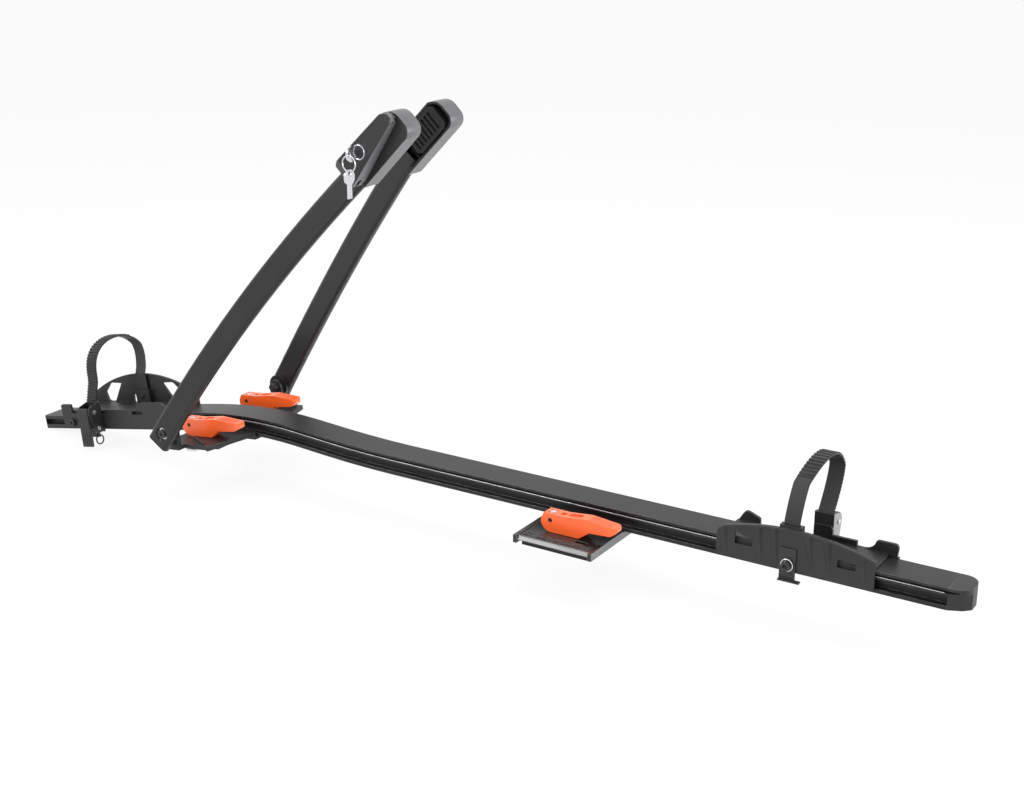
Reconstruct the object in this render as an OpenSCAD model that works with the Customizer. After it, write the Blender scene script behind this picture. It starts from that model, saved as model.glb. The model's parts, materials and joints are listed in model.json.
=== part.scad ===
// Roof mounted bike carrier: a bent aluminium rail on two crossbar clamps, two folding
// frame-holding arms with a locking jaw lever, and two wheel holders with ratchet straps.
// X runs along the rail (+X to the rear), Y across the car, Z up.
// The origin is the centre of the front crossbar seat.

/* [Rail] */
// Width of the rail extrusion
rail_w = 47; // [45:0.5:50]
// Height of the rail extrusion
rail_h = 27; // [26:0.5:30]
// Thickness of the rail's top plate
rail_top_t = 3; // [2.5:0.1:4]
// Height of the groove under the top plate
groove_h = 3.7; // [3.2:0.1:4.2]
// Depth of the groove under the top plate
groove_d = 6; // [5:0.5:8]
// Height of the ledge between groove and side channel
ledge_t = 2.3; // [2:0.1:3]
// Depth of the side channel
channel_d = 9; // [7:0.5:10]
// Height of the rail's foot below the side channel
foot_t = 5; // [4:0.5:6]
// Width of the mouth of the T-slot in the rail's underside
tslot_mouth_w = 10; // [9:0.5:12]
// Width of the T-slot's cavity
tslot_w = 20; // [18:0.5:22]
// Length of the straight rear section
rear_l = 770; // [720:5:800]
// Length of the straight front section
front_l = 286; // [284:1:300]
// Slope of the front section, down towards the front
front_drop = 10.5; // [9.5:0.1:11.5]
// Slope of the short link that rises to the front bracket
rear_rise = 3.7; // [3:0.1:4.5]
// Radius of the bend over the front bracket
bend_r = 720; // [660:10:800]
// Radius of the gentle sweep behind the link
sweep_r = 1850; // [1600:50:2100]
// Length of the straight link between sweep and bend
link_l = 50; // [40:1:60]
// Length of the front end plug
front_cap_l = 57; // [50:1:60]
// Length of the rear end cap
rear_cap_l = 24.5; // [23:0.5:30]

/* [Front bracket] */
// Pitch of the front bracket, down towards the front
plate_pitch = 6.2; // [5.5:0.1:7]
// Length of the front bracket along the rail
plate_l = 102; // [98:1:106]
// Distance from the rail's middle to the bracket's outer edge
plate_half_w = 104; // [102:1:106]
// How far the rear edge of the bracket sweeps forward at its outer end
plate_sweep = 20; // [14:1:26]
// Thickness of the bracket's floor under the rail
plate_t = 3; // [2.5:0.1:4]
// Height of the wings' top face above the bracket's floor
wing_rise = 9; // [7:0.5:11]
// Thickness of the bracket's wings
wing_t = 6; // [5:0.5:7]
// Thickness of the rubber pad under the floor
pad_t = 2; // [2:0.5:4]
// Least thickness of the saddle between bracket and rail
saddle_t = 1; // [0.8:0.1:2]
// Distance from the rail's middle to a front clamp lever
front_lever_y = 62; // [58:1:66]
// Position of the front clamp bolts along the bracket
front_lever_x = -33; // [-36:1:-28]

/* [Clamps] */
// Height of the lever's pivot above the face it presses on
cam_h = 16.4; // [15:0.1:18]
// Lift that the cam gives the clamp bolt
cam_lift = 3; // [2:0.1:4]
// Angle through which a clamp lever opens
cam_open = 95; // [80:1:100]
// Width of a clamp lever
lever_w = 18; // [16:0.5:20]
// Length of a clamp lever from its pivot to its tip
lever_l = 95; // [88:1:100]
// Diameter of the clamp bolts
tbolt_d = 8; // [6:1:8]
// Diameter of the barrel pin in the lever
barrel_d = 12; // [11:0.5:13]
// Length of the T-head on the clamp bolts
thead_l = 26; // [22:1:30]
// Width of the T-head
thead_w = 18; // [16:1:19]
// Thickness of the T-head
thead_t = 3; // [2.5:0.5:4]
// Distance from the seat down to the T-head
thead_drop = 5; // [5:0.5:8]

/* [Arms] */
// Height of the arm pivots above the bracket's floor
pivot_h = 32; // [30:0.5:35]
// Position of the arm pivots along the bracket
pivot_x = -24; // [-27:1:-21]
// Distance from the rail's middle to the arm's middle at the pivot
pivot_y = 128; // [126:0.5:130]
// Lean of the arms at the pivot, from upright towards the rear
arm_lean = 33; // [30:0.1:36]
// Radius of the arms' bow
arm_bow_r = 2300; // [2200:25:2450]
// Angle by which the arms' bow leans outwards
arm_bow_out = 44; // [40:1:48]
// Length of an arm from its pivot to the jaw
arm_l = 497; // [470:1:510]
// Angle by which each arm leans inwards at its pivot
arm_tilt = 4.9; // [4.5:0.1:5.4]
// Width of the arm tube
arm_w = 35; // [33:0.5:36]
// Thickness of the arm tube
arm_t = 14; // [12:0.5:15]
// Wall of the arm tube
arm_wall = 2; // [1.5:0.1:3]
// Length of arm below the pivot
arm_toe = 20; // [18:1:22]

/* [Jaws] */
// Width of a jaw shell
jaw_w = 45; // [44:0.5:50]
// Length of a jaw shell
jaw_l = 107; // [102:1:115]
// Distance from the rail's middle to a jaw's outer face
jaw_out = 62; // [61:0.5:64]
// Distance from the rail's middle to a jaw's rim
jaw_in = 33; // [31:0.5:36]
// Wall of the jaw shells
jaw_wall = 3; // [2.5:0.1:3.5]
// How far the rubber stands out of the jaw
grip_proud = 2; // [1:0.5:4]
// Travel of the pressure pad
pad_travel = 10; // [8:0.5:11]
// Width of the jaw lever
jaw_lever_w = 38; // [36:0.5:40]
// Angle through which the jaw lever opens
jaw_lever_open = 75; // [60:1:80]
// Diameter of the jaw lever's hinge pin
jaw_pin_d = 5; // [4:0.5:5]
// Diameter of the lock cylinder
lock_d = 16; // [14:0.5:17]

/* [Wheel holders] */
// Position of the rear wheel holder's middle
rear_holder_x = 878; // [860:1:890]
// Length of the rear wheel holder
rear_holder_l = 200; // [190:1:210]
// Distance from the rail's front end to the front wheel holder's middle
front_holder_in = 109; // [106:1:112]
// Length of the front wheel holder
front_holder_l = 230; // [226:1:234]
// Thickness of the wheel holders' side plates
holder_t = 4; // [3.5:0.1:5]
// Running clearance between the sliding pieces and the rail
slide_gap = 0.3; // [0.2:0.05:0.45]
// Height of the front holder's fan plate above the rail's foot
fan_h = 75; // [70:1:80]

/* [Straps] */
// Width of the straps
strap_w = 20; // [18:0.5:21]
// Thickness of the straps without their teeth
strap_t = 2.4; // [2:0.1:3]
// Height of the strap teeth
tooth_h = 1.3; // [0.8:0.1:1.6]
// Pitch of the strap teeth
tooth_pitch = 4.4; // [3.8:0.1:6]
// Height of the rear strap's arch above the rail's foot
rear_arch_h = 140; // [134:1:150]
// Height of the front strap's arch above the rail's foot
front_arch_h = 140; // [134:1:150]

/* [Rear foot] */
// Position of the rear foot's middle
rear_foot_x = 594; // [560:1:620]
// Length of the rear foot along the rail
rear_foot_l = 112; // [106:1:118]
// Distance from the rail's middle to the rear foot's outer edge
rear_foot_y = 104; // [100:1:110]
// Distance that the rear foot reaches past the rail's middle on the far side
rear_foot_far = 36; // [30:1:45]
// Thickness of the rear foot's plate
rear_plate_t = 6; // [5:0.5:7]
// Distance from the rail's middle to the rear clamp lever
rear_lever_y = 66; // [62:1:70]
// Position of the rear clamp bolt, measured from the rear foot's middle
rear_lever_x = -22; // [-26:1:-18]

/* [Hidden] */
$fn = 48;

// Clearances: between pieces that rest on each other, around turning pins, and for bolts in holes
seat_gap = 0.2;
pin_gap = 0.05;
hole_gap = 0.4;
eps = 0.01;
// The rail's bends end inside its straight pieces, a hair slimmer
joint_lap = 0.5;
bend_slim = 0.02;

// Colours
black = [0.09, 0.09, 0.10];
dark = [0.16, 0.16, 0.17];
grey = [0.35, 0.36, 0.38];
rubber = [0.06, 0.06, 0.06];
orange = [0.95, 0.35, 0.12];
steel = [0.75, 0.76, 0.78];

// Rail levels above the rail's foot, and half widths
rail_y = rail_w / 2;
top_z = rail_h - rail_top_t;
ledge_z = top_z - groove_h;
channel_top = ledge_z - ledge_t;
channel_y = rail_y - channel_d;
tslot_lip = 3;
tslot_h = 7;
core_z = tslot_lip + tslot_h + 2;

// Path of the rail's foot line, as [x, z] points
floor_z = pad_t + plate_t;
bend_sag = bend_r * (1 - cos(asin(plate_l / 2 / bend_r)));
rail_seat = floor_z + saddle_t + bend_sag + seat_gap;
bend_c = (rail_seat - bend_r) * [-sin(plate_pitch), cos(plate_pitch)];
link_a = bend_c + bend_r * [sin(rear_rise), cos(rear_rise)];
link_b = link_a + link_l * [cos(rear_rise), -sin(rear_rise)];
sweep_c = link_b + sweep_r * [sin(rear_rise), cos(rear_rise)];
rear_a = sweep_c - [0, sweep_r];
front_a = bend_c + bend_r * [-sin(front_drop), cos(front_drop)];
rail_z = rear_a[1];
rear_end = rear_a[0] + rear_l;

// Front bracket levels in its own pitched frame
wing_top = floor_z + wing_rise;
wing_bot = wing_top - wing_t;
web_t = 4;
lip_t = 4;
lip_h = 7;
web_in = rail_y + 0.5;
web_out = web_in + web_t;
pivot_z = floor_z + pivot_h;
ear_t = 6.5;
ear_in = pivot_y - arm_t / 2 - 4 - ear_t;
ear_r = 11;
bush_r = 7;
bolt_r = 4;
boss_r = arm_w / 2 - 1;
boss_out = pivot_y + arm_t / 2 - 3;
recess_y = pivot_y + arm_t / 2 - 4.5;
recess_r = 9.5;
boss_in = ear_in + ear_t + 0.4;

// Arms: how far each runs into its jaw, and how much further than the arm the jaw leans
arm_tail = 20;
jaw_turn = 2;

// Arms: world place of the pivot and of the arm's jaw end, and its lean there
function plate_pt(x, z) = [x * cos(plate_pitch) - z * sin(plate_pitch),
    x * sin(plate_pitch) + z * cos(plate_pitch)];
pivot = plate_pt(pivot_x, pivot_z);
arm_turn = arm_l / arm_bow_r * 180 / PI;
bow_back = cos(arm_bow_out);
bow_in = sin(arm_bow_out);
arm_bow = arm_bow_r * (1 - cos(arm_turn));
arm_run = arm_bow_r * sin(arm_turn) * cos(arm_tilt) - arm_bow * bow_in * sin(arm_tilt);
jaw_lean = arm_lean + jaw_turn + atan2(sin(arm_turn) * bow_back,
    cos(arm_turn) * cos(arm_tilt) - sin(arm_turn) * bow_in * sin(arm_tilt));
jaw_base = pivot + arm_run * [sin(arm_lean), cos(arm_lean)]
    + arm_bow * bow_back * [cos(arm_lean), -sin(arm_lean)];

// Jaw sizes in the jaw's own frame: x across, y along the jaw, z from the outer face inwards
jaw_d = jaw_out - jaw_in;
rivet_l = 12;
rivet_r = 3;
grip_l0 = 34;
grip_l1 = jaw_l - 11;
grip_w = jaw_w - 2 * jaw_wall - 3;
grip_z = jaw_d + grip_proud;
grip_t = 8;
backer_t = 6;
backer_z = grip_z - grip_t - backer_t;
jaw_pin_y = jaw_l - 10;
jaw_pin_z = -6.3;
knuckle_r = 5.5;
knuckle_w = 8;
lever_top_r = 6;
jaw_lever_x = 1;
lever_nose_r = 10;
lever_taper = 12;
knuckle_x = jaw_lever_x + jaw_lever_w / 2 - lever_nose_r;
lever_top_t = 13.8;
lever_low_t = 24.3;
lever_skin = 2.5;
plunger_y = 65;
plunger_r = 5;
plunger_end = -9;
lock_y = 41;
lock_x = 6;
lock_r = lock_d / 2;
lock_face = -(lever_top_t + (jaw_pin_y - lock_y) / (jaw_pin_y - 10) * (lever_low_t - lever_top_t));
lock_proud = 1.4;
key_t = 2;
bow_r = 10;
bow_hole_r = 3;
key_h = 7.8;
key_gap = 0.1;
tongue_z = -5;
keyway_z = tongue_z - 4;
bow_z = lock_face - lock_proud - 4 - bow_r;
bow_hole_x = 5;
key_blade = keyway_z - bow_z - bow_r + 3 - key_gap;
ring_hole_z = bow_z - bow_hole_x;
ring_r = 10;
ring_wire = 0.9;
ring_seat = bow_hole_r - ring_wire - 0.85;
spare_seat = bow_hole_r - ring_wire - pin_gap;

// Clamp lever
lever_gap = 0.3;
barrel_r = barrel_d / 2;
tbolt_r = tbolt_d / 2;
fork_y = tbolt_r + 1.2;
journal_r = 3;
nose_x = 41;
undercut_x = 56;
bolt_top = barrel_r + 3;
foot_gap = 0.3;
rear_pad_t = 8;
rear_lip = 9;

// Wheel holders
front_holder_x = front_holder_in - front_l;
holder_in = rail_y + slide_gap;
holder_out = holder_in + holder_t;
holder_floor = rail_h + slide_gap;
holder_floor_t = 3;
holder_bot = 3;
buckle_w = strap_w + 5;
cheek_t = 2;
buckle_h = 48;
lever_pin = [15, 34];
pawl_pin = [12, 9];
handle_l = 52;
buckle_base_t = 2;
strap_gap = 0.3;
pin_r = 2;

// Rear holder outline heights, above the rail's foot
rear_low = 40;
rear_mid = 56;
tab_h = 44;
wall_h = 34;
anchor_z = (foot_t + channel_top) / 2;

// Strap legs: across positions and the lowest point of each leg
rear_near_y = 20.5;
rear_near_x = -6.5;
rear_far_x = 14;
rear_near_z = 33;
rear_buckle_z = 14;
front_far_y = 20;
front_near_x = -38;
front_far_x = 24;
front_far_z = 33;
front_buckle_z = -2;
leg_y = holder_out + seat_gap + buckle_base_t + strap_gap + strap_t / 2;

// Places each front-section, bracket, rear-section or jaw piece in the shared frame
module at_front() { translate([front_a[0], 0, front_a[1]]) rotate([0, -front_drop, 0]) children(); }
module at_bracket() { rotate([0, -plate_pitch, 0]) children(); }
module at_rear() { translate([0, 0, rail_z]) children(); }
module at_rear_holder() { translate([rear_holder_x, 0, rail_z]) children(); }
module at_rear_foot() { translate([rear_foot_x, 0, rail_z - foot_gap]) children(); }
module at_front_holder() { at_front() translate([front_holder_x, 0, 0]) children(); }
module at_arm() {
    translate([pivot[0], -pivot_y, pivot[1]]) rotate([-90, 180 + arm_lean, 0])
        rotate([arm_tilt, 0, 0]) children();
}
module at_jaw() {
    translate([jaw_base[0], -jaw_out, jaw_base[1]]) rotate([-90, 180 + jaw_lean, 0]) children();
}
module far_side() { mirror([0, 1, 0]) children(); }
module both_sides() {
    children();
    far_side() children();
}

// Basic shapes
module along_x(l) { rotate([90, 0, 90]) linear_extrude(l) children(); }
module box(x0, x1, y0, y1, z0, z1) { translate([x0, y0, z0]) cube([x1 - x0, y1 - y0, z1 - z0]); }
// Outline in x and z, extruded from y0 to y1
module wall_y(y0, y1) { translate([0, y1, 0]) rotate([90, 0, 0]) linear_extrude(y1 - y0) children(); }
// Outline in y and z, extruded from x0 to x1
module wall_x(x0, x1) { translate([x0, 0, 0]) along_x(x1 - x0) children(); }
module rod_y(r, y0, y1) { translate([0, y0, 0]) rotate([-90, 0, 0]) cylinder(r = r, h = y1 - y0); }
module rod_x(r, x0, x1) { translate([x0, 0, 0]) rotate([0, 90, 0]) cylinder(r = r, h = x1 - x0); }
module round_rect(x0, x1, y0, y1, r) {
    translate([x0 + r, y0]) square([x1 - x0 - 2 * r, y1 - y0]);
    translate([x0, y0 + r]) square([x1 - x0, y1 - y0 - 2 * r]);
    for (x = [x0 + r, x1 - r], y = [y0 + r, y1 - r]) translate([x, y]) circle(r);
}
module ring_shape(ro, ri) {
    difference() {
        circle(ro);
        circle(ri);
    }
}
module socket_head(r, h) {
    difference() {
        cylinder(r = r, h = h);
        translate([0, 0, h / 2]) cylinder(r = r * 0.5, h = h, $fn = 6);
    }
}

// Rail

// Section of the rail; slim takes that much off every face
module rail_profile(slim = 0) {
    core_y = channel_y - 3.5 + slim;
    difference() {
        translate([slim - rail_y, slim]) square([rail_w - 2 * slim, rail_h - 2 * slim]);
        for (s = [-1, 1]) {
            translate([s * rail_y - groove_d - slim, ledge_z - slim])
                square([2 * (groove_d + slim), groove_h + 2 * slim]);
            translate([s * rail_y - channel_d - slim, foot_t - slim])
                square([2 * (channel_d + slim), channel_top - foot_t + 2 * slim]);
        }
        translate([-tslot_mouth_w / 2 - slim, -1]) square([tslot_mouth_w + 2 * slim, tslot_lip + 2]);
        translate([-tslot_w / 2 - slim, tslot_lip - slim])
            square([tslot_w + 2 * slim, tslot_h + 2 * slim]);
        translate([-core_y, core_z - slim]) square([2 * core_y, ledge_z + 1 - core_z + 2 * slim]);
    }
}

module rail_bar(x0, x1) { translate([x0, 0, 0]) along_x(x1 - x0) rail_profile(); }

module rail() {
    color(dark) {
        translate([rear_a[0], 0, rear_a[1]]) rail_bar(-joint_lap, rear_l);
        translate([sweep_c[0], 0, sweep_c[1]]) rotate([0, 90, 90]) rotate_extrude(angle = rear_rise)
            translate([sweep_r, 0]) rotate(90) rail_profile(bend_slim);
        translate([link_a[0], 0, link_a[1]]) rotate([0, rear_rise, 0])
            rail_bar(-joint_lap, link_l + joint_lap);
        translate([bend_c[0], 0, bend_c[1]]) rotate([0, rear_rise, 0]) rotate([0, -90, 90])
            rotate_extrude(angle = rear_rise + front_drop) translate([bend_r, 0]) rotate(-90)
                rail_profile(bend_slim);
        at_front() rail_bar(-front_l, joint_lap);
    }
}

module front_end_plug() {
    slot_h = 9;
    plug_y = tslot_w / 2 - seat_gap;
    color(black) at_front() translate([-front_l - front_cap_l, 0, 0]) {
        difference() {
            linear_extrude(ledge_z) hull() {
                translate([front_cap_l - 1, -rail_y]) square([1, rail_w]);
                for (s = [-1, 1]) translate([6, s * (rail_y - 6)]) circle(6);
            }
            for (s = [-1, 1])
                translate([0, s * rail_y, 0])
                    box(4, front_cap_l + 1, -channel_d, channel_d, foot_t + 1.5, foot_t + 1.5 + slot_h);
        }
        box(front_cap_l - 1, front_cap_l + 16, -plug_y, plug_y, tslot_lip + seat_gap,
            tslot_lip + tslot_h - seat_gap);
    }
}

module rear_end_cap() {
    tip_r = 18;
    prow_y = 8;
    plug_y = tslot_w / 2 - seat_gap;
    color(black) at_rear() translate([rear_end, 0, 0]) {
        difference() {
            translate([0, 0, ledge_z]) linear_extrude(rail_h - ledge_z) {
                translate([0, -rail_y]) square([rear_cap_l - tip_r, rail_w]);
                translate([0, tip_r - rail_y]) square([rear_cap_l, rail_w - 2 * tip_r]);
                for (s = [-1, 1]) translate([rear_cap_l - tip_r, s * (rail_y - tip_r)]) circle(tip_r);
            }
            box(-tip_r, 0, -rail_w, rail_w, 0, rail_h + 1);
            for (s = [-1, 1])
                box(-1, rear_cap_l - 7, s * rail_y - groove_d, s * rail_y + groove_d, ledge_z - 1, top_z);
        }
        linear_extrude(ledge_z + eps) polygon([[0, -rail_y], [rear_cap_l - 8, -prow_y - 8],
            [rear_cap_l, -prow_y], [rear_cap_l, prow_y], [rear_cap_l - 8, prow_y + 8],
            [0, rail_y]]);
        box(-16, 1, -plug_y, plug_y, tslot_lip + seat_gap, tslot_lip + tslot_h - seat_gap);
    }
}

// Front bracket, its seat and its bolts

wing_half_l = plate_l / 2;
wing_rear = [[wing_half_l, web_in], [wing_half_l - plate_sweep, plate_half_w + 1]];

module bracket_wing() {
    rear_out = wing_half_l - plate_sweep;
    edge = plate_half_w + 1;
    translate([0, 0, wing_bot]) linear_extrude(wing_t) difference() {
        polygon([[-wing_half_l, web_in], wing_rear[0], wing_rear[1], [-wing_half_l, edge]]);
        translate([front_lever_x, front_lever_y]) circle(tbolt_r + hole_gap);
    }
    translate([0, 0, pad_t]) linear_extrude(wing_top - pad_t)
        translate([-wing_half_l, web_in]) square([plate_l, web_t]);
    translate([0, 0, wing_top - lip_h]) linear_extrude(lip_h) {
        translate([-wing_half_l, web_in]) square([lip_t, edge - web_in]);
        polygon([wing_rear[0], wing_rear[1], [rear_out - lip_t, edge], [wing_half_l - lip_t, web_in]]);
    }
    difference() {
        wall_y(ear_in, ear_in + ear_t) {
            translate([pivot_x - ear_r, wing_bot]) square([2 * ear_r, pivot_z - wing_bot]);
            translate([pivot_x, pivot_z]) circle(ear_r);
        }
        translate([pivot_x, 0, pivot_z]) rod_y(bolt_r + pin_gap, ear_in - 1, ear_in + ear_t + 1);
    }
    box(pivot_x - ear_r, pivot_x + ear_r, edge - 1, ear_in + ear_t, wing_bot, wing_top);
    translate([-18, 79, wing_top - eps]) rotate(28) cube([46, 3, 4]);
}

module front_bracket() {
    color(black) at_bracket() {
        difference() {
            box(-wing_half_l, wing_half_l, -web_out, web_out, pad_t, floor_z);
            bracket_bolt_places() cylinder(r = bolt_r + hole_gap, h = rail_seat);
        }
        both_sides() bracket_wing();
    }
}

module bracket_bolt_places() {
    for (x = [-wing_half_l + 16, wing_half_l - 16]) translate([x, 0, 0]) children();
}

module saddle_blank(gap) {
    intersection() {
        box(-wing_half_l + 3, wing_half_l - 3, -rail_y + 2, rail_y - 2, floor_z, rail_seat + 1);
        translate([0, 0, rail_seat - bend_r]) rod_y(bend_r - gap, -rail_y, rail_y, $fn = 180);
    }
}

module front_saddle() {
    color(dark) at_bracket() difference() {
        saddle_blank(seat_gap);
        bracket_bolt_places() cylinder(r = bolt_r + hole_gap, h = 2 * rail_seat);
    }
}

module front_pad() {
    inset = lip_t + 5;
    side = front_lever_y + 14;
    color(rubber) at_bracket() difference() {
        union() {
            box(-wing_half_l + inset, wing_half_l - inset - plate_sweep, -side, side, 0, pad_t);
            both_sides() box(-wing_half_l + inset, wing_half_l - inset - plate_sweep, web_out + 1,
                side, pad_t - eps, wing_bot);
        }
        for (s = [-1, 1])
            translate([front_lever_x, s * front_lever_y, -1]) cylinder(r = tbolt_r + 1, h = wing_top);
        bracket_bolt_places() translate([0, 0, -1]) cylinder(r = 8.5, h = pad_t + 2);
    }
}

// Button-headed bolts from below the bracket into square nuts in the rail's T-slot
module bracket_bolts() {
    nut_w = tslot_w - 3;
    nut_z = rail_seat + tslot_lip;
    bolt_head_z = 0.4;
    color(steel) at_bracket() bracket_bolt_places() {
        translate([0, 0, bolt_head_z]) cylinder(r = 7.5, h = pad_t - bolt_head_z);
        translate([0, 0, pad_t - eps]) cylinder(r = bolt_r, h = nut_z + 3 - pad_t);
        translate([-6, -nut_w / 2, nut_z + 0.6]) cube([12, nut_w, 3]);
    }
}

module at_pivots() { both_sides() translate([pivot[0], 0, pivot[1]]) mirror([0, 1, 0]) children(); }

module arm_pivot_bolts() {
    color(steel) at_pivots() {
        rod_y(bolt_r, ear_in - 8, recess_y + 2);
        translate([0, recess_y + 1.6, 0]) rotate([-90, 0, 0]) socket_head(6.5, 4);
        translate([0, ear_in - 7, 0]) rotate([-90, 0, 0]) cylinder(r = 7, h = 7, $fn = 6);
    }
}

module arm_pivot_bushes() {
    color(dark) at_pivots() difference() {
        rod_y(bush_r, boss_in, recess_y);
        rod_y(bolt_r + pin_gap, boss_in - 1, recess_y + 1);
    }
}

module arm_pivot_washers() {
    color(steel) at_pivots() difference() {
        rod_y(recess_r - 1, recess_y + 0.3, recess_y + 1.5);
        rod_y(bolt_r + pin_gap, recess_y - 1, recess_y + 3);
    }
}

// Arms

module oval_shape(w, t) {
    r = t * 0.42;
    round_rect(-w / 2, w / 2, -t / 2, t / 2, r);
}

// Oval section swept along the arm's bow between two angles
module arm_sweep(from, to, w, t) {
    rotate([0, arm_bow_out, 0]) translate([-arm_bow_r, 0, 0]) rotate([0, 0, from])
        rotate_extrude(angle = to - from) translate([arm_bow_r, 0]) rotate(arm_bow_out) oval_shape(w, t);
}

// Tube with a solid foot around the pivot
module arm_tube() {
    per_mm = 180 / PI / arm_bow_r;
    to = arm_turn + arm_tail * per_mm;
    difference() {
        arm_sweep(-arm_toe * per_mm, to, arm_w, arm_t);
        arm_sweep((boss_r + 8) * per_mm, to + per_mm, arm_w - 2 * arm_wall, arm_t - 2 * arm_wall);
    }
}

module arm() {
    color(black) difference() {
        union() {
            at_arm() arm_tube();
            translate([pivot[0], 0, pivot[1]]) rod_y(boss_r, -boss_out, -boss_in);
        }
        translate([pivot[0], 0, pivot[1]]) {
            rod_y(bush_r + pin_gap, -boss_out - 1, -boss_in + 1);
            rod_y(recess_r, -pivot_y - arm_t, -recess_y);
        }
        jaw_rivet_places() rivet_shape(0, rivet_l + 1);
    }
}

module near_arm() { arm(); }
module far_arm() { far_side() arm(); }

// Jaws

module jaw_outline(inset) {
    w = jaw_w / 2 - inset;
    top = jaw_l - inset;
    rear_r = 14 - inset;
    front_r = 20 - inset;
    translate([-w, inset]) square([2 * w, top - rear_r - inset]);
    translate([-w + rear_r, inset]) square([2 * w - rear_r - front_r, top - inset]);
    translate([w - front_r - eps, inset]) square([front_r + eps, top - front_r - inset]);
    translate([-w + rear_r, top - rear_r]) circle(rear_r);
    translate([w - front_r, top - front_r]) circle(front_r);
}

module jaw_shell_blank() {
    difference() {
        linear_extrude(jaw_d) jaw_outline(0);
        translate([0, 0, jaw_wall]) linear_extrude(jaw_d) jaw_outline(jaw_wall);
        box(-jaw_w / 2 + jaw_wall, jaw_w / 2 - jaw_wall, -1, jaw_wall + 1, jaw_wall, jaw_d + 1);
    }
}

module jaw_rivet_places() {
    at_jaw() for (y = [5, 14]) translate([0, y, 0]) children();
}

module rivet_shape(z0, z1) { translate([0, 0, z0]) cylinder(r = rivet_r, h = z1 - z0); }

module near_jaw_shell() {
    color(grey) difference() {
        at_jaw() {
            difference() {
                jaw_shell_blank();
                translate([0, plunger_y, -1]) cylinder(r = plunger_r + pin_gap, h = jaw_wall + 2);
            }
            difference() {
                union() {
                    translate([knuckle_x, jaw_pin_y, jaw_pin_z])
                        rod_x(knuckle_r, -knuckle_w / 2, knuckle_w / 2);
                    translate([knuckle_x, 0, 0])
                        box(-knuckle_w / 2, knuckle_w / 2, jaw_pin_y - knuckle_r, jaw_pin_y + knuckle_r,
                            jaw_pin_z, eps);
                }
                translate([knuckle_x, jaw_pin_y, jaw_pin_z])
                    rod_x(jaw_pin_d / 2 + pin_gap, -knuckle_w, knuckle_w);
            }
        }
        jaw_rivet_places() rivet_shape(-1, jaw_wall + 1);
    }
}

module far_jaw_shell() {
    color(grey) far_side() difference() {
        at_jaw() jaw_shell_blank();
        jaw_rivet_places() rivet_shape(-1, jaw_wall + 1);
    }
}

module jaw_rivets() {
    color(steel) jaw_rivet_places() {
        rivet_shape(-eps, rivet_l);
        translate([0, 0, -1.2]) cylinder(r = 4.6, h = 1.2);
    }
}

module near_jaw_rivets() { jaw_rivets(); }
module far_jaw_rivets() { far_side() jaw_rivets(); }

module grip_outline(inset) {
    w = grip_w / 2 - inset;
    round_rect(-w, w, grip_l0 + inset, grip_l1 - inset, 8);
}

// Plate that carries the near rubber, with the plunger that the jaw lever pushes
module pressure_pad() {
    color(dark) at_jaw() {
        translate([0, 0, backer_z]) linear_extrude(backer_t) grip_outline(0);
        translate([0, plunger_y, plunger_end]) cylinder(r = plunger_r, h = backer_z + eps - plunger_end);
    }
}

// Rubber with cross ribs between grooves
module rubber_grip(z0, z1) {
    groove = 3.2;
    pitch = 7;
    count = floor((grip_l1 - grip_l0 - 16) / pitch);
    difference() {
        translate([0, 0, z0]) linear_extrude(z1 - z0) grip_outline(0);
        for (i = [0 : count])
            translate([0, grip_l0 + 8 + i * pitch, z1 - groove])
                box(-grip_w * 0.36, grip_w * 0.36, -1.6, 1.6, 0, groove + 1);
    }
}

module near_jaw_grip() { color(rubber) at_jaw() rubber_grip(grip_z - grip_t, grip_z); }
module far_jaw_grip() { color(rubber) far_side() at_jaw() rubber_grip(jaw_wall, grip_z); }

// Side profile of the jaw lever: along the jaw against depth from the jaw's outer face
module lever_side(inset) {
    top = jaw_pin_y;
    polygon([[top, -lever_top_t + inset], [10, -lever_low_t + inset], [0, -lever_low_t + 3 + inset],
        [-6 + inset, -lever_low_t + 11], [-6 + inset, -0.4], [top, -0.4]]);
}

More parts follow.
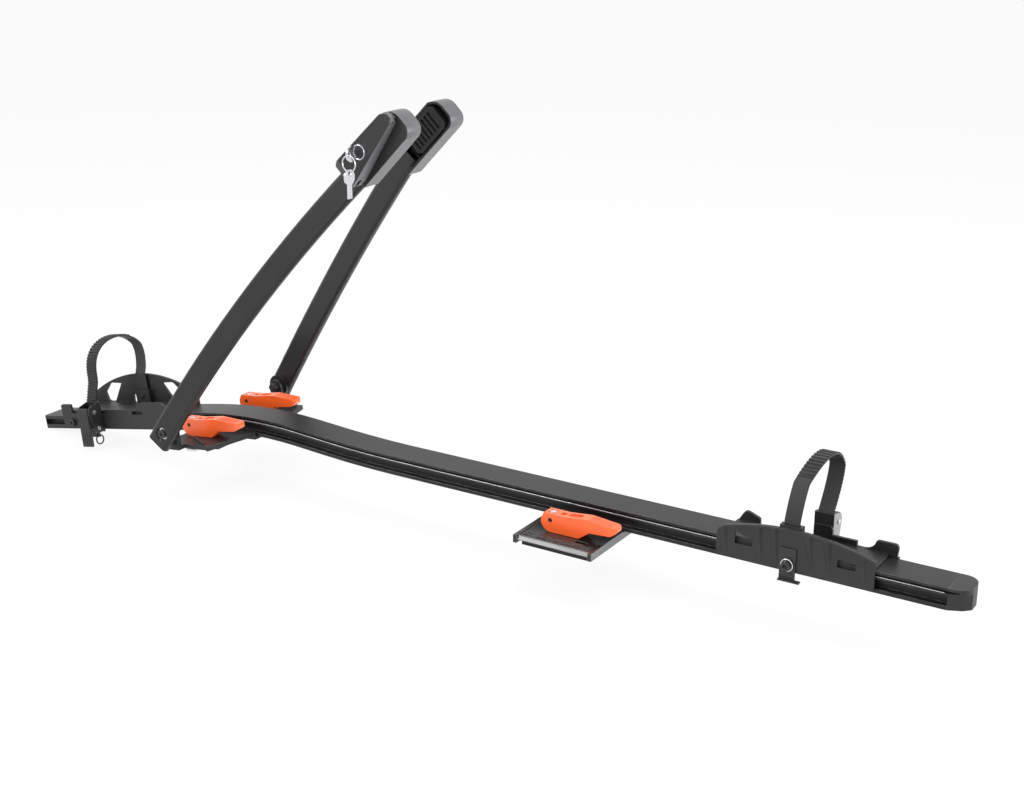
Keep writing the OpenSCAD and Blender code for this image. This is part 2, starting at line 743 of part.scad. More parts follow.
module jaw_lever() {
    half = jaw_lever_w / 2;
    mid = jaw_lever_x;
    color(black) at_jaw() difference() {
        union() {
            difference() {
                union() {
                    wall_x(mid - half, mid + half) lever_side(0);
                    translate([0, jaw_pin_y, jaw_pin_z]) rod_x(lever_top_r, mid - half, mid + half);
                }
                difference() {
                    union() {
                        wall_x(mid - half + lever_skin, mid + half - lever_skin) difference() {
                            lever_side(lever_skin);
                            translate([jaw_pin_y - 12, -20]) square([30, 30]);
                        }
                        box(mid - half + lever_skin, mid + half - lever_skin, -6 + lever_skin,
                            jaw_pin_y - 12, -3, 1);
                    }
                    translate([lever_skin, 0, 0]) lever_taper_cut(half, mid);
                }
            }
            translate([lock_x, lock_y, lock_face - 1]) cylinder(r = lock_r + 2.5, h = 15);
            translate([0, plunger_y, -17]) cylinder(r = plunger_r, h = 17 + plunger_end - 0.3);
        }
        translate([lock_x, lock_y, lock_face - 10]) cylinder(r = lock_r + pin_gap, h = 40);
        translate([0, plunger_y, plunger_end - 0.3]) cylinder(r = plunger_r + 0.6, h = 20);
        translate([knuckle_x, jaw_pin_y, jaw_pin_z]) {
            rod_x(knuckle_r + 0.4, -knuckle_w / 2 - 0.4, knuckle_w / 2 + 0.4);
            rod_x(jaw_pin_d / 2, -half, half);
            box(-knuckle_w / 2 - 0.4, knuckle_w / 2 + 0.4, -knuckle_r - 0.4, 20, 0, 20);
            box(-knuckle_w / 2 - 0.4, knuckle_w / 2 + 0.4, 0, 20, -knuckle_r - 0.4, 20);
        }
        wall_x(mid - half - 1, mid - half + lever_skin + 1) round_rect(0, 13, -18, -11.5, 3.2);
        lever_corner_cuts(half, mid);
        lever_taper_cut(half, mid);
    }
}

// Rounds the corners of the lever's outline
module lever_corner_cuts(half, mid) {
    for (s = [-1, 1])
        translate([mid + s * half, -6, -40]) rotate(s > 0 ? 90 : 0) corner_cut(s > 0 ? 15 : 9, 60);
    translate([mid + half, jaw_pin_y + lever_top_r, -40]) rotate(180) corner_cut(lever_nose_r, 60);
}

// Slants the rear side of the lever's outline towards its rounded upper end
module lever_taper_cut(half, mid) {
    side = mid - half;
    top = jaw_pin_y + lever_top_r;
    nose = [knuckle_x, top - lever_nose_r];
    touch = nose + lever_nose_r * [-cos(lever_taper), sin(lever_taper)];
    start = touch[1] - (touch[0] - side) / tan(lever_taper);
    steps = 10;
    translate([0, 0, -40]) linear_extrude(60) polygon(concat(
        [[side - 6, start - 5 / tan(lever_taper)], [side - 5, start - 5 / tan(lever_taper)]],
        [for (i = [0 : steps]) let (a = 180 - lever_taper - i * (90 - lever_taper) / steps)
            nose + lever_nose_r * [cos(a), sin(a)]],
        [[nose[0], top + 1], [side - 6, top + 1]]));
}

module corner_cut(r, h) {
    difference() {
        translate([-1, -1, 0]) cube([r + 1, r + 1, h]);
        translate([r, r, -1]) cylinder(r = r, h = h + 2);
    }
}

module jaw_lever_pin() {
    color(steel) at_jaw() translate([knuckle_x, jaw_pin_y, jaw_pin_z])
        rod_x(jaw_pin_d / 2, -lever_nose_r + 2.4, lever_nose_r - 2.4);
}

module at_lock() { at_jaw() translate([lock_x, lock_y, 0]) rotate(-jaw_lean) children(); }

// Barrel with its keyway, and the tongue on its inner end
module lock_cylinder() {
    key_side = key_t / 2 + key_gap;
    color(steel) at_lock() {
        difference() {
            translate([0, 0, lock_face - lock_proud])
                cylinder(r = lock_r, h = tongue_z - lock_face + lock_proud);
            box(-key_side, key_side, -key_h / 2 - key_gap, key_h / 2 + key_gap,
                lock_face - lock_proud - 1, keyway_z);
        }
        rotate(jaw_lean) box(-3, 3, -13, 4, tongue_z - eps, tongue_z + 2);
    }
}

module key_shape() {
    difference() {
        union() {
            circle(bow_r);
            translate([bow_r - 3, -key_h / 2]) square([key_blade, key_h]);
        }
        translate([-bow_hole_x, 0]) circle(bow_hole_r);
    }
}

module lock_key() {
    color(steel) at_lock() translate([-key_t / 2, 0, bow_z]) rotate([90, 0, 90])
        linear_extrude(key_t) rotate(90) key_shape();
}

module at_ring() { at_lock() translate([0, -ring_seat, ring_hole_z]) children(); }

module key_ring() {
    color(steel) at_ring() translate([0, -ring_r, 0])
        rotate_extrude() translate([ring_r, 0]) circle(ring_wire, $fn = 24);
}

module spare_key() {
    color(steel) at_ring() translate([-key_t / 2, -2 * ring_r - spare_seat - bow_hole_x, 0])
        rotate([90, 0, 90]) linear_extrude(key_t) rotate(180) key_shape();
}

// Clamp levers: pivot at the origin, handle along +x, cam face below

function cam_radius(a) = cam_h - lever_gap - cam_lift * a / cam_open;
cam_steps = 12;

module lever_side_view() {
    polygon(concat(
        [for (i = [0 : cam_steps]) let (a = i * cam_open / cam_steps)
            cam_radius(a) * [-sin(a), -cos(a)]],
        [[-9, 9], [20, 9], [52, 12.4], [lever_l - 3, 8.5], [lever_l, 5], [lever_l - 4, 0.5],
            [lever_l - 10, -3], [undercut_x, -5], [nose_x, -cam_h + lever_gap + 0.4]]));
}

module clamp_lever() {
    color(orange) difference() {
        intersection() {
            wall_y(-lever_w / 2, lever_w / 2) lever_side_view();
            translate([0, 0, -2 * cam_h]) linear_extrude(4 * cam_h) {
                translate([-2 * cam_h, -lever_w / 2]) square([2 * cam_h + lever_l - 14, lever_w]);
                round_rect(lever_l - 30, lever_l, -lever_w / 2, lever_w / 2, 7.5);
            }
        }
        rod_y(journal_r + pin_gap, -lever_w, lever_w);
        box(-2 * cam_h, fork_y, -fork_y, fork_y, -2 * cam_h, fork_y + 1);
        rod_y(bolt_top + 1, -fork_y, fork_y);
        translate([33, 0, 7.4]) linear_extrude(8) round_rect(-10, 10, -5.5, 5.5, 5.4);
        translate([15.5, 0, 6]) linear_extrude(8) round_rect(-3.5, 3.5, -3, 3, 1);
    }
}

// Cross pin of the clamp bolt: a stout middle in the lever's fork, slim journals in its sides
module clamp_barrel() {
    color(steel) difference() {
        union() {
            rod_y(barrel_r, -fork_y + lever_gap, fork_y - lever_gap);
            for (s = [-1, 1]) rotate([0, 0, s < 0 ? 180 : 0])
                translate([0, fork_y - 1, 0]) rotate([-90, 0, 0])
                    socket_head(journal_r, lever_w / 2 - fork_y + 0.5);
        }
        translate([0, 0, -barrel_r - 1]) cylinder(r = tbolt_r, h = 2 * barrel_r + 2);
    }
}

// Bolt from the barrel down to the T-head; depth is the T-head's top below the pivot
module clamp_bolt(depth) {
    color(steel) {
        translate([0, 0, -depth]) cylinder(r = tbolt_r, h = depth + bolt_top);
        translate([-thead_w / 2, -thead_l / 2, -depth - thead_t]) cube([thead_w, thead_l, thead_t + eps]);
    }
}

module at_near_clamp() {
    at_bracket() translate([front_lever_x, -front_lever_y, wing_top + cam_h]) children();
}
front_depth = wing_top + cam_h + thead_drop;
module front_near_lever() { at_near_clamp() clamp_lever(); }
module front_near_barrel() { at_near_clamp() clamp_barrel(); }
module front_near_tbolt() { at_near_clamp() clamp_bolt(front_depth); }
module front_far_lever() { far_side() at_near_clamp() clamp_lever(); }
module front_far_barrel() { far_side() at_near_clamp() clamp_barrel(); }
module front_far_tbolt() { far_side() at_near_clamp() clamp_bolt(front_depth); }

// Rear foot

module at_rear_clamp() { at_rear_foot() translate([rear_lever_x, -rear_lever_y, cam_h]) children(); }
rear_depth = cam_h + rear_plate_t + rear_pad_t + thead_drop;
module rear_lever() { at_rear_clamp() clamp_lever(); }
module rear_barrel() { at_rear_clamp() clamp_barrel(); }
module rear_tbolt() { at_rear_clamp() clamp_bolt(rear_depth); }

foot_half = rear_foot_l / 2;

module foot_screw_places() {
    for (x = [-foot_half + 18, foot_half - 18]) translate([x, 0, 0]) children();
}

module rear_foot_plate() {
    rim = 5;
    color(black) at_rear_foot() difference() {
        union() {
            box(-foot_half, foot_half, -rear_foot_y, rear_foot_far, -rear_plate_t, 0);
            for (x = [-foot_half, foot_half - rim]) {
                box(x, x + rim, -rear_foot_y - 4, rear_foot_far, -rear_lip, 0);
                box(x, x + rim, -rear_foot_y - 4, -rail_y - 3, -1, 1.4);
            }
            wall_x(-foot_half + 1, foot_half - 1) translate([-rear_foot_y, 0])
                polygon([[-3, -4.2], [0.6, 0.6], [1.4, 1], [3, 1], [3, -2], [0.5, -2], [0.5, -5], [-3, -5]]);
        }
        box(-foot_half + rim + 4, foot_half - rim - 4, -rear_foot_y + 5, -rear_foot_y + 9, -1.5, 1);
        box(-foot_half + rim + 4, foot_half - rim - 4, -rear_foot_y + 12, -rear_foot_y + 15, -1.5, 1);
        box(foot_half - 38, foot_half - 22, -rear_foot_y + 19, -rear_foot_y + 25, -rear_lip, 1);
        translate([rear_lever_x, -rear_lever_y, -rear_lip]) cylinder(r = tbolt_r + hole_gap, h = 20);
        foot_screw_places() translate([0, 0, -rear_lip]) cylinder(r = 3 + hole_gap, h = 20);
    }
}

module rear_foot_pad() {
    inset = 7;
    color(rubber) at_rear_foot() difference() {
        box(-foot_half + inset, foot_half - inset, -rear_foot_y + 6, rear_foot_far - 4,
            -rear_plate_t - rear_pad_t, -rear_plate_t);
        translate([rear_lever_x, -rear_lever_y, -40]) cylinder(r = tbolt_r + 1, h = 60);
        foot_screw_places() translate([0, 0, -40]) cylinder(r = 7, h = 60);
        box(foot_half - 39, foot_half - 21, -rear_foot_y + 18, -rear_foot_y + 26, -40, 0);
    }
}

// T-shaped runner that slides in the rail's T-slot
module rear_foot_runner() {
    head = tslot_w / 2 - slide_gap;
    neck = tslot_mouth_w / 2 - slide_gap;
    lift = tslot_lip + slide_gap + foot_gap;
    color(dark) at_rear_foot() difference() {
        union() {
            box(-foot_half + 8, foot_half - 8, -head, head, lift, lift + tslot_h - 2 * slide_gap);
            box(-foot_half + 8, foot_half - 8, -neck, neck, 0, lift + eps);
        }
        foot_screw_places() translate([0, 0, -1]) cylinder(r = 3, h = lift + 5);
    }
}

module rear_foot_screws() {
    color(steel) at_rear_foot() foot_screw_places() {
        translate([0, 0, -rear_plate_t - 3.5]) cylinder(r = 5.5, h = 3.5);
        translate([0, 0, -rear_plate_t - eps]) cylinder(r = 3, h = rear_plate_t + 7);
    }
}

// Wheel holders: floor over the rail, lips in its groove, a side plate on each side

module holder_floor_shape(x0, x1) {
    lip_in = rail_y - groove_d + slide_gap;
    box(x0, x1, -holder_in - 1, holder_in + 1, holder_floor, holder_floor + holder_floor_t);
    both_sides() box(x0, x1, lip_in, holder_in + 1, ledge_z + slide_gap, top_z - slide_gap);
}

module arch_wall(half, low, mid, bottom) {
    rise = mid - low;
    r = (half * half + rise * rise) / (2 * rise);
    intersection() {
        translate([-half, bottom]) square([2 * half, mid]);
        translate([0, mid - r]) circle(r, $fn = 180);
    }
}

module rear_wheel_holder() {
    half = rear_holder_l / 2;
    color(black) at_rear_holder() difference() {
        union() {
            wall_y(-holder_out, -holder_in) arch_wall(half, rear_low, rear_mid, holder_bot);
            wall_y(holder_in, holder_out) {
                translate([-half + 30, holder_bot]) square([rear_holder_l - 20, wall_h - 6 - holder_bot]);
                translate([-half, 0]) polygon([[2, holder_bot], [2, tab_h - 19], [11.5, tab_h - 4],
                    [13.5, tab_h - 1.6], [16, tab_h - 0.6], [18.5, tab_h - 0.8], [32, tab_h - 6],
                    [33.5, tab_h - 7.2], [34, tab_h - 9], [34, holder_bot]]);
                translate([half - 80, holder_bot]) square([38, wall_h]);
                translate([rear_far_x, 0]) round_rect(-11, 13, holder_bot, rear_buckle_z + 34, 5);
                translate([half, 0]) polygon([[-43, holder_bot], [-43, wall_h - 3.2], [-34, wall_h - 3.6],
                    [-28, wall_h - 2.6], [-23.5, wall_h], [-20.5, wall_h + 3.6], [-19, tab_h - 3],
                    [-18, tab_h - 1], [-16, tab_h], [4.5, tab_h], [7, tab_h - 0.8], [8.5, tab_h - 2.8],
                    [9, tab_h - 6], [6, tab_h - 30], [6, holder_bot]]);
            }
            holder_floor_shape(-half + 4, half - 2);
            rear_holder_pleats(half);
            rear_strap_slot();
        }
        rear_holder_windows(half);
        wall_y(-holder_out - 5, -holder_in + 0.5)
            polygon([[-half - 1, rear_low - 9], [-half, rear_low - 9], [-half + 2.6, rear_low - 2.6],
                [-half + 9, rear_low + 3], [-half + 9, rear_mid], [-half - 1, rear_mid]]);
        translate([rear_near_x, 0, anchor_z]) rod_y(bolt_r + hole_gap, -holder_out - 5, -holder_in + 1);
        box(rear_near_x - 11, rear_near_x + 11, -holder_out - 5, -holder_out, 0, holder_floor + 6);
        box(rear_near_x - strap_w / 2 - 0.4, rear_near_x + strap_w / 2 + 0.4, -rear_near_y - 1.8,
            -rear_near_y + 2.3, holder_floor + holder_floor_t + 2, rear_mid + 8);
    }
}

// Pleats on the outside of the near plate, standing out furthest at its upper edge
module rear_holder_pleats(half) {
    pleat_r = 6.5;
    proud = 4;
    wall_y(-holder_out - 1.8, -holder_out + eps) difference() {
        arch_wall(half, rear_low, rear_mid, holder_bot + 20);
        translate([0, -3]) arch_wall(half + 1, rear_low, rear_mid, holder_bot);
    }
    intersection() {
        wall_y(-holder_out - pleat_r, -holder_in - 1)
            arch_wall(half - 1, rear_low - 1, rear_mid - 1, holder_bot + 2);
        for (share = [-0.86, -0.4, -0.2, 0.24, 0.47, 0.9])
            translate([share * half, pleat_r - holder_out - proud, holder_bot])
                rotate([0, -8, 0]) cylinder(r1 = pleat_r - proud, r2 = pleat_r, h = rear_mid);
    }
}

// Openings in the near plate: place along it, and height over the floor at each end
module rear_holder_windows(half) {
    for (w = [[-half + 24, 11, 4 - eps], [half - 46, 6, 4 - eps]])
        wall_y(-holder_out - 5, -holder_in + 1)
            polygon([[w[0], holder_floor - 5], [w[0] + 23, holder_floor - 5],
                [w[0] + 23, holder_floor + w[2]], [w[0], holder_floor + w[1]]]);
}

// Raised frame behind the near plate that holds the strap's fixed end
module rear_strap_slot() {
    half = strap_w / 2 + 4;
    box(rear_near_x - half, rear_near_x + half, -holder_in - 1, -rear_near_y + 5,
        holder_floor + holder_floor_t - eps, rear_mid + 3);
}

module rear_clamp_nut() {
    color(steel) at_rear_holder() difference() {
        box(rear_near_x - 9, rear_near_x + 9, -rail_y + 1, -channel_y - slide_gap, foot_t + slide_gap,
            channel_top - slide_gap);
        translate([rear_near_x, 0, anchor_z]) rod_y(bolt_r, -rail_y, -channel_y + 1);
    }
}

// Bent metal bracket outside the near plate, with a hook under the rail
module rear_strap_anchor() {
    y1 = -holder_out;
    y0 = y1 - 2;
    color(grey) at_rear_holder() difference() {
        union() {
            box(rear_near_x - 10, rear_near_x + 10, y0, y1, -7, holder_floor + 5);
            box(rear_near_x - 10, rear_near_x + 17, y0 - 4, y1, -9, -7 + eps);
        }
        translate([rear_near_x, 0, anchor_z]) rod_y(bolt_r + hole_gap, y0 - 1, y1 + 1);
    }
}

module rear_anchor_bolt() {
    y0 = -holder_out - 2;
    color(steel) at_rear_holder() translate([rear_near_x, 0, anchor_z]) {
        rod_y(bolt_r, y0 - 2, -channel_y - slide_gap);
        difference() {
            rod_y(8, y0 - 1.6, y0);
            rod_y(bolt_r - eps, y0 - 2, y0 + 1);
        }
        translate([0, y0 - 1.6 + eps, 0]) rotate([90, 0, 0]) socket_head(6, 5);
    }
}

module front_wheel_holder() {
    half = front_holder_l / 2;
    mid = 17;
    color(black) at_front_holder() difference() {
        union() {
            wall_y(-holder_out, -holder_in) {
                translate([-half, holder_bot]) square([front_holder_l, 23]);
                translate([-half, 0]) round_rect(0, 22, holder_bot, 40, 3);
                translate([-half + 98, holder_bot]) square([126, 29]);
                translate([half - 66, 0]) round_rect(0, 66, holder_bot, 43, 16);
            }
            wall_y(holder_in, holder_out) translate([mid, 0]) fan_shape();
            holder_floor_shape(-half + 18, half - 4);
            box(front_far_x - 14, front_far_x + 14, front_far_y - 5, holder_in + 1,
                holder_floor + holder_floor_t - eps, front_far_z + 18);
        }
        box(40, 61, -holder_out - 1, -holder_in + 1, 24.5, 30 - eps);
        for (x = [-half + 20, half - 20])
            translate([x, 0, anchor_z]) rod_y(bolt_r + hole_gap, -holder_out - 5, -holder_in + 1);
        box(front_far_x - strap_w / 2 - 0.4, front_far_x + strap_w / 2 + 0.4, front_far_y - 2.6,
            front_far_y + 2.2, front_far_z - 0.4, fan_h);
        translate([front_far_x, 0, front_far_z + 9]) rod_y(2 + hole_gap, front_far_y - 9, holder_out + 1);
    }
}

// Tall fan plate with two slanted windows and a narrow one between
module fan_shape() {
    half = front_holder_l / 2 - 2;
    difference() {
        arch_wall(half, fan_h - 33, fan_h, holder_bot);
        for (s = [-1, 1])
            scale_x(s) polygon([[44, 60], [66, 61], [70, 59], [83, 46], [80, 33], [76, 31], [64, 31]]);
        polygon([[-22, 42], [-14, 42], [-12, 30], [-24, 30]]);
    }
}

module scale_x(s) { mirror([s < 0 ? 1 : 0, 0]) children(); }

module front_holder_bolts() {
    half = front_holder_l / 2;
    color(steel) at_front_holder() for (x = [-half + 20, half - 20]) translate([x, 0, anchor_z]) {
        rod_y(bolt_r, -holder_out - 0.5, -channel_y - slide_gap);
        translate([0, -holder_out, 0]) rotate([90, 0, 0]) socket_head(6, 4);
        box(-8, 8, -rail_y + 1, -channel_y - 1, foot_t - anchor_z + slide_gap,
            channel_top - anchor_z - slide_gap);
    }
}

// Straps: a band swept up one side, over an arch and down the other, with teeth outside.
// near and far give each leg's place [x, y, lowest z]; arch gives the top's height, the height
// where the arch starts, its lean to the far side, its bulge, between which shares of its
// length the strap crosses from one leg's x to the other's, and how far its top sways in x.

function path_shape(a, near, far, arch) =
    let (c = (near[1] + far[1]) / 2, r = (far[1] - near[1]) / 2)
    [c - r * cos(a) + arch[2] * sin(a) - arch[3] * sin(2 * a), arch[1] + (arch[0] - arch[1]) * sin(a)];
function arch_points(near, far, arch) = [for (i = [0 : 60]) path_shape(i * 3, near, far, arch)];
function running(p, i = 0, s = 0) = i >= len(p) - 1 ? [s]
    : concat([s], running(p, i + 1, s + norm(p[i + 1] - p[i])));
function strap_path(near, far, arch) =
    concat([[near[1], near[2]]], arch_points(near, far, arch), [[far[1], far[2]]]);
function tooth(i) = i % 4 < 2 ? 1 : 0;

// from and to bound the toothed stretch, as shares of the strap's length
module strap_band(near, far, arch, from, to) {
    path = strap_path(near, far, arch);
    s = running(path);
    total = s[len(s) - 1];
    table_y = [for (i = [0 : len(s) - 1]) [s[i], path[i][0]]];
    table_z = [for (i = [0 : len(s) - 1]) [s[i], path[i][1]]];
    teeth = floor(total / tooth_pitch);
    step = total / teeth;
    stations = [for (i = [0 : teeth - 1]) each [i + 0.02, i + 0.4, i + 0.52, i + 0.9] * step];
    at = function (u) [lookup(u, table_y), lookup(u, table_z)];
    rings = [for (i = [0 : len(stations) - 1])
        let (u = stations[i], p = at(u), q = at(min(u + 1, total)) - at(max(u - 1, 0)),
            n = [-q[1], q[0]] / norm(q), share = u / total,
            cross = (share - arch[4]) / (arch[5] - arch[4]),
            sway = arch[6] * max(0, (p[1] - arch[1] - 8) / (arch[0] - arch[1] - 8)),
            x = near[0] + (far[0] - near[0]) * min(1, max(0, cross)) + sway,
            out = strap_t / 2 + (share > from && share < to ? tooth_h * tooth(i) : 0),
            lo = p - n * strap_t / 2, hi = p + n * out)
        each [[x - strap_w / 2, lo[0], lo[1]], [x + strap_w / 2, lo[0], lo[1]],
            [x + strap_w / 2, hi[0], hi[1]], [x - strap_w / 2, hi[0], hi[1]]]];
    last = len(rings) - 4;
    faces = concat([[3, 2, 1], [3, 1, 0]],
        [for (i = [0 : 4 : last - 4], k = [0 : 3]) let (a = i + k, b = i + (k + 1) % 4)
            each [[a, b, b + 4], [a, b + 4, a + 4]]],
        [[last, last + 1, last + 2], [last, last + 2, last + 3]]);
    polyhedron(rings, faces);
}

rear_strap_near = [rear_near_x, -rear_near_y, rear_near_z];
rear_strap_far = [rear_far_x, leg_y, rear_buckle_z + 6];
front_strap_near = [front_near_x, -leg_y, front_buckle_z + 6];
front_strap_far = [front_far_x, front_far_y, front_far_z];

rear_arch = [rear_arch_h, rear_buckle_z + buckle_h - 6, 18, 8, 0.3, 0.6, 8];
front_arch = [front_arch_h, fan_h + 2, 8, 12, 0.15, 0.68, -9];

module rear_strap() {
    color(rubber) at_rear_holder() strap_band(rear_strap_near, rear_strap_far, rear_arch, 0.33, 1);
}

module front_strap() {
    color(rubber) at_front_holder() difference() {
        strap_band(front_strap_near, front_strap_far, front_arch, 0, 0.62);
        translate([front_far_x, 0, front_far_z + 9]) rod_y(2 + hole_gap, front_far_y - 9, holder_out);
    }
}

module front_strap_screw() {
    color(steel) at_front_holder() translate([front_far_x, 0, front_far_z + 9]) {
        rod_y(2, front_far_y - 5, holder_out + 0.2);
        rod_y(3.6, holder_out, holder_out + 2.2);
        rod_y(3.6, front_far_y - 7, front_far_y - 5);
    }
}

// Ratchet buckles on the outside of a side plate: x along the rail, y outwards, z up

module cheek_shape() {
    difference() {
        hull() {
            translate([0, 2]) square([3, buckle_h - 2]);
            translate([lever_pin[0], lever_pin[1]]) circle(11, $fn = 32);
            translate([pawl_pin[0], pawl_pin[1]]) circle(8, $fn = 32);
        }
        translate(lever_pin) circle(pin_r);
        translate(pawl_pin) circle(pin_r);
    }
}

module buckle_frame() {
    half = buckle_w / 2;
    color(dark) {
        difference() {
            for (x = [-half, half - cheek_t]) wall_x(x, x + cheek_t) cheek_shape();
            translate([0, lever_pin[0], lever_pin[1]]) rod_x(pin_r, -half - 1, half + 1);
            translate([0, pawl_pin[0], pawl_pin[1]]) rod_x(pin_r, -half - 1, half + 1);
        }
        box(-half, half, 0, buckle_base_t, 0, buckle_h);
    }
}

// Handle with its toothed drum on the upper pin
module buckle_lever() {
    half = buckle_w / 2 - cheek_t - 0.4;
    drum = 5;
    color(black) translate([0, lever_pin[0], lever_pin[1]]) difference() {
        union() {
            rod_x(drum, -half, half);
            wall_x(-half, half) hull() {
                circle(drum - 0.4, $fn = 32);
                translate([9, 6]) circle(2.5, $fn = 32);
            }
            wall_x(-half, half) hull() {
                translate([9, 6]) circle(2.5, $fn = 32);
                translate([13, 3 - handle_l]) circle(2, $fn = 32);
            }
            for (i = [0 : 5]) let (z = 7 - handle_l + 3 * i, share = (6 - z) / (handle_l + 3))
                translate([0, 11 + 4 * share, z]) wall_x(-half + 2, half - 2)
                    polygon([[-2, -0.9], [1, -0.5], [1, 0.5], [-2, 0.9]]);
        }
        rod_x(pin_r + pin_gap, -half - 1, half + 1);
    }
}

// Spring pawl on the lower pin, with a thumb tab below
module buckle_pawl() {
    half = buckle_w / 2 - cheek_t - 0.4;
    color(dark) translate([0, pawl_pin[0], pawl_pin[1]]) difference() {
        union() {
            rod_x(4, -half, half);
            wall_x(-half, half) polygon([[-4, 0], [-4.5, 9], [-1.5, 14], [3.5, 2]]);
            wall_x(-half, half) polygon([[-3, -2], [-3, -15], [0, -15], [3, -2]]);
        }
        rod_x(pin_r + pin_gap, -half - 1, half + 1);
    }
}

module buckle_pins() {
    half = buckle_w / 2;
    color(steel) for (p = [lever_pin, pawl_pin]) translate([0, p[0], p[1]]) {
        rod_x(pin_r, -half - 0.5, half + 0.5);
        for (x = [-half - 1.7, half + 0.2]) rod_x(3.2, x, x + 1.5);
    }
}

module at_rear_buckle() {
    at_rear_holder() translate([rear_far_x, holder_out + seat_gap, rear_buckle_z]) children();
}
module at_front_buckle() {
    at_front_holder() translate([front_near_x, -holder_out - seat_gap, front_buckle_z])
        mirror([0, 1, 0]) children();
}
module rear_buckle_frame() { at_rear_buckle() buckle_frame(); }
module rear_buckle_lever() { at_rear_buckle() buckle_lever(); }
module rear_buckle_pawl() { at_rear_buckle() buckle_pawl(); }
module rear_buckle_pins() { at_rear_buckle() buckle_pins(); }
module front_buckle_frame() { at_front_buckle() buckle_frame(); }
module front_buckle_lever() { at_front_buckle() buckle_lever(); }
module front_buckle_pawl() {
    at_front_buckle() difference() {
        buckle_pawl();
        translate([0, pawl_pin[0], pawl_pin[1]]) translate([8, -1.6, -12]) rod_y(2.2, -4, 4);
    }
}
module front_buckle_pins() { at_front_buckle() buckle_pins(); }

// Wire ring through the front pawl's tab, for pulling the strap free
module front_release_ring() {
    loop_r = 7;
    color(dark) at_front_buckle() translate([8, pawl_pin[0] - 1.6, pawl_pin[1] - 12 - loop_r])
        rotate([0, 90, 0]) rotate_extrude() translate([loop_r, 0]) circle(1.1, $fn = 24);
}

rail();
front_end_plug();
rear_end_cap();
front_bracket();
front_saddle();
front_pad();
bracket_bolts();
arm_pivot_bolts();
arm_pivot_bushes();
arm_pivot_washers();
near_arm();
far_arm();
near_jaw_shell();
far_jaw_shell();
near_jaw_rivets();
far_jaw_rivets();
pressure_pad();
near_jaw_grip();
far_jaw_grip();
jaw_lever();
jaw_lever_pin();
lock_cylinder();
lock_key();
key_ring();
spare_key();
front_near_lever();
front_near_barrel();
front_near_tbolt();
front_far_lever();
front_far_barrel();
front_far_tbolt();
rear_lever();
rear_barrel();
rear_tbolt();
rear_foot_plate();
rear_foot_pad();
rear_foot_runner();
rear_foot_screws();
front_wheel_holder();
front_holder_bolts();
front_strap();
front_strap_screw();
front_buckle_frame();
front_buckle_lever();
front_buckle_pawl();
front_buckle_pins();
front_release_ring();
rear_wheel_holder();
rear_clamp_nut();
rear_strap_anchor();
rear_anchor_bolt();
rear_strap();
rear_buckle_frame();
rear_buckle_lever();
rear_buckle_pawl();
rear_buckle_pins();
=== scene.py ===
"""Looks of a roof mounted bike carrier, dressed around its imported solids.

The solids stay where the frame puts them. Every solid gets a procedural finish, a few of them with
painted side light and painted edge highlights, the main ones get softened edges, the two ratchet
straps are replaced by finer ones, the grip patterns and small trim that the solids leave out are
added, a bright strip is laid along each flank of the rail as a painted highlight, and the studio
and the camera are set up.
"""

import json
import logging
import math
from dataclasses import dataclass, field
from enum import Enum

import bpy
from mathutils import Matrix, Vector


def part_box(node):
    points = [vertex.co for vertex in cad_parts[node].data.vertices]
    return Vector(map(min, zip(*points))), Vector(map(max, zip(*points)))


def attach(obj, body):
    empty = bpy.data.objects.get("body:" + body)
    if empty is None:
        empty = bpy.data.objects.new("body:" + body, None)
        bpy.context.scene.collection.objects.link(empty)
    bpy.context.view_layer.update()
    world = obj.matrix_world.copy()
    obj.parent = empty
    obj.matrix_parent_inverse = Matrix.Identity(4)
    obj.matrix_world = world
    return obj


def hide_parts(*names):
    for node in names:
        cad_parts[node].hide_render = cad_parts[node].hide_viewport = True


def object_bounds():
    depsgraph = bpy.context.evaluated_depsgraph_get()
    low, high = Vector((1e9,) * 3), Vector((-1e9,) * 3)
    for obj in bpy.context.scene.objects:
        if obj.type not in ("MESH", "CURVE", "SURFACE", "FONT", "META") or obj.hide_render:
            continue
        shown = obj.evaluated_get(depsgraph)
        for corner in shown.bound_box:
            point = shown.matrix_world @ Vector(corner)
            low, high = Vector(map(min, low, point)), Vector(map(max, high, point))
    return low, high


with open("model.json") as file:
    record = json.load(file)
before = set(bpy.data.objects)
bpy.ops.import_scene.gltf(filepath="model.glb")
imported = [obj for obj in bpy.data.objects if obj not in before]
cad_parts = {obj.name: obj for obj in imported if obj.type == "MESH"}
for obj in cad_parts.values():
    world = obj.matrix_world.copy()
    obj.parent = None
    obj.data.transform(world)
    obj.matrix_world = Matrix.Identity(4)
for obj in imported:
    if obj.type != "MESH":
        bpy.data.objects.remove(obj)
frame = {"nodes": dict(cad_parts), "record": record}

CAD_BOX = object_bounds()
MM = 0.001

log = logging.getLogger("carrier")

Point = tuple[float, float, float]
Colour = tuple[float, float, float]
Span = tuple[float, float]
Profile = tuple[tuple[float, float], ...]
Ring = list[Vector]
Faces = list[tuple[int, ...]]

EVEN: Point = (1.0, 1.0, 1.0)
WHITE: Colour = (1.0, 1.0, 1.0)
UNIT: Span = (0.0, 1.0)
CORNERS = ((-1, -1), (1, -1), (1, 1), (-1, 1))
HALF_TURN = 180
QUARTER_TURN = 90
TINY = 1e-9


# Finishes


class Grain(Enum):
    """Kinds of surface texture that a finish can have."""

    POWDER = "powder"
    MOULDED = "moulded"
    DRAWN = "drawn"
    RUBBER = "rubber"
    POLISHED = "polished"


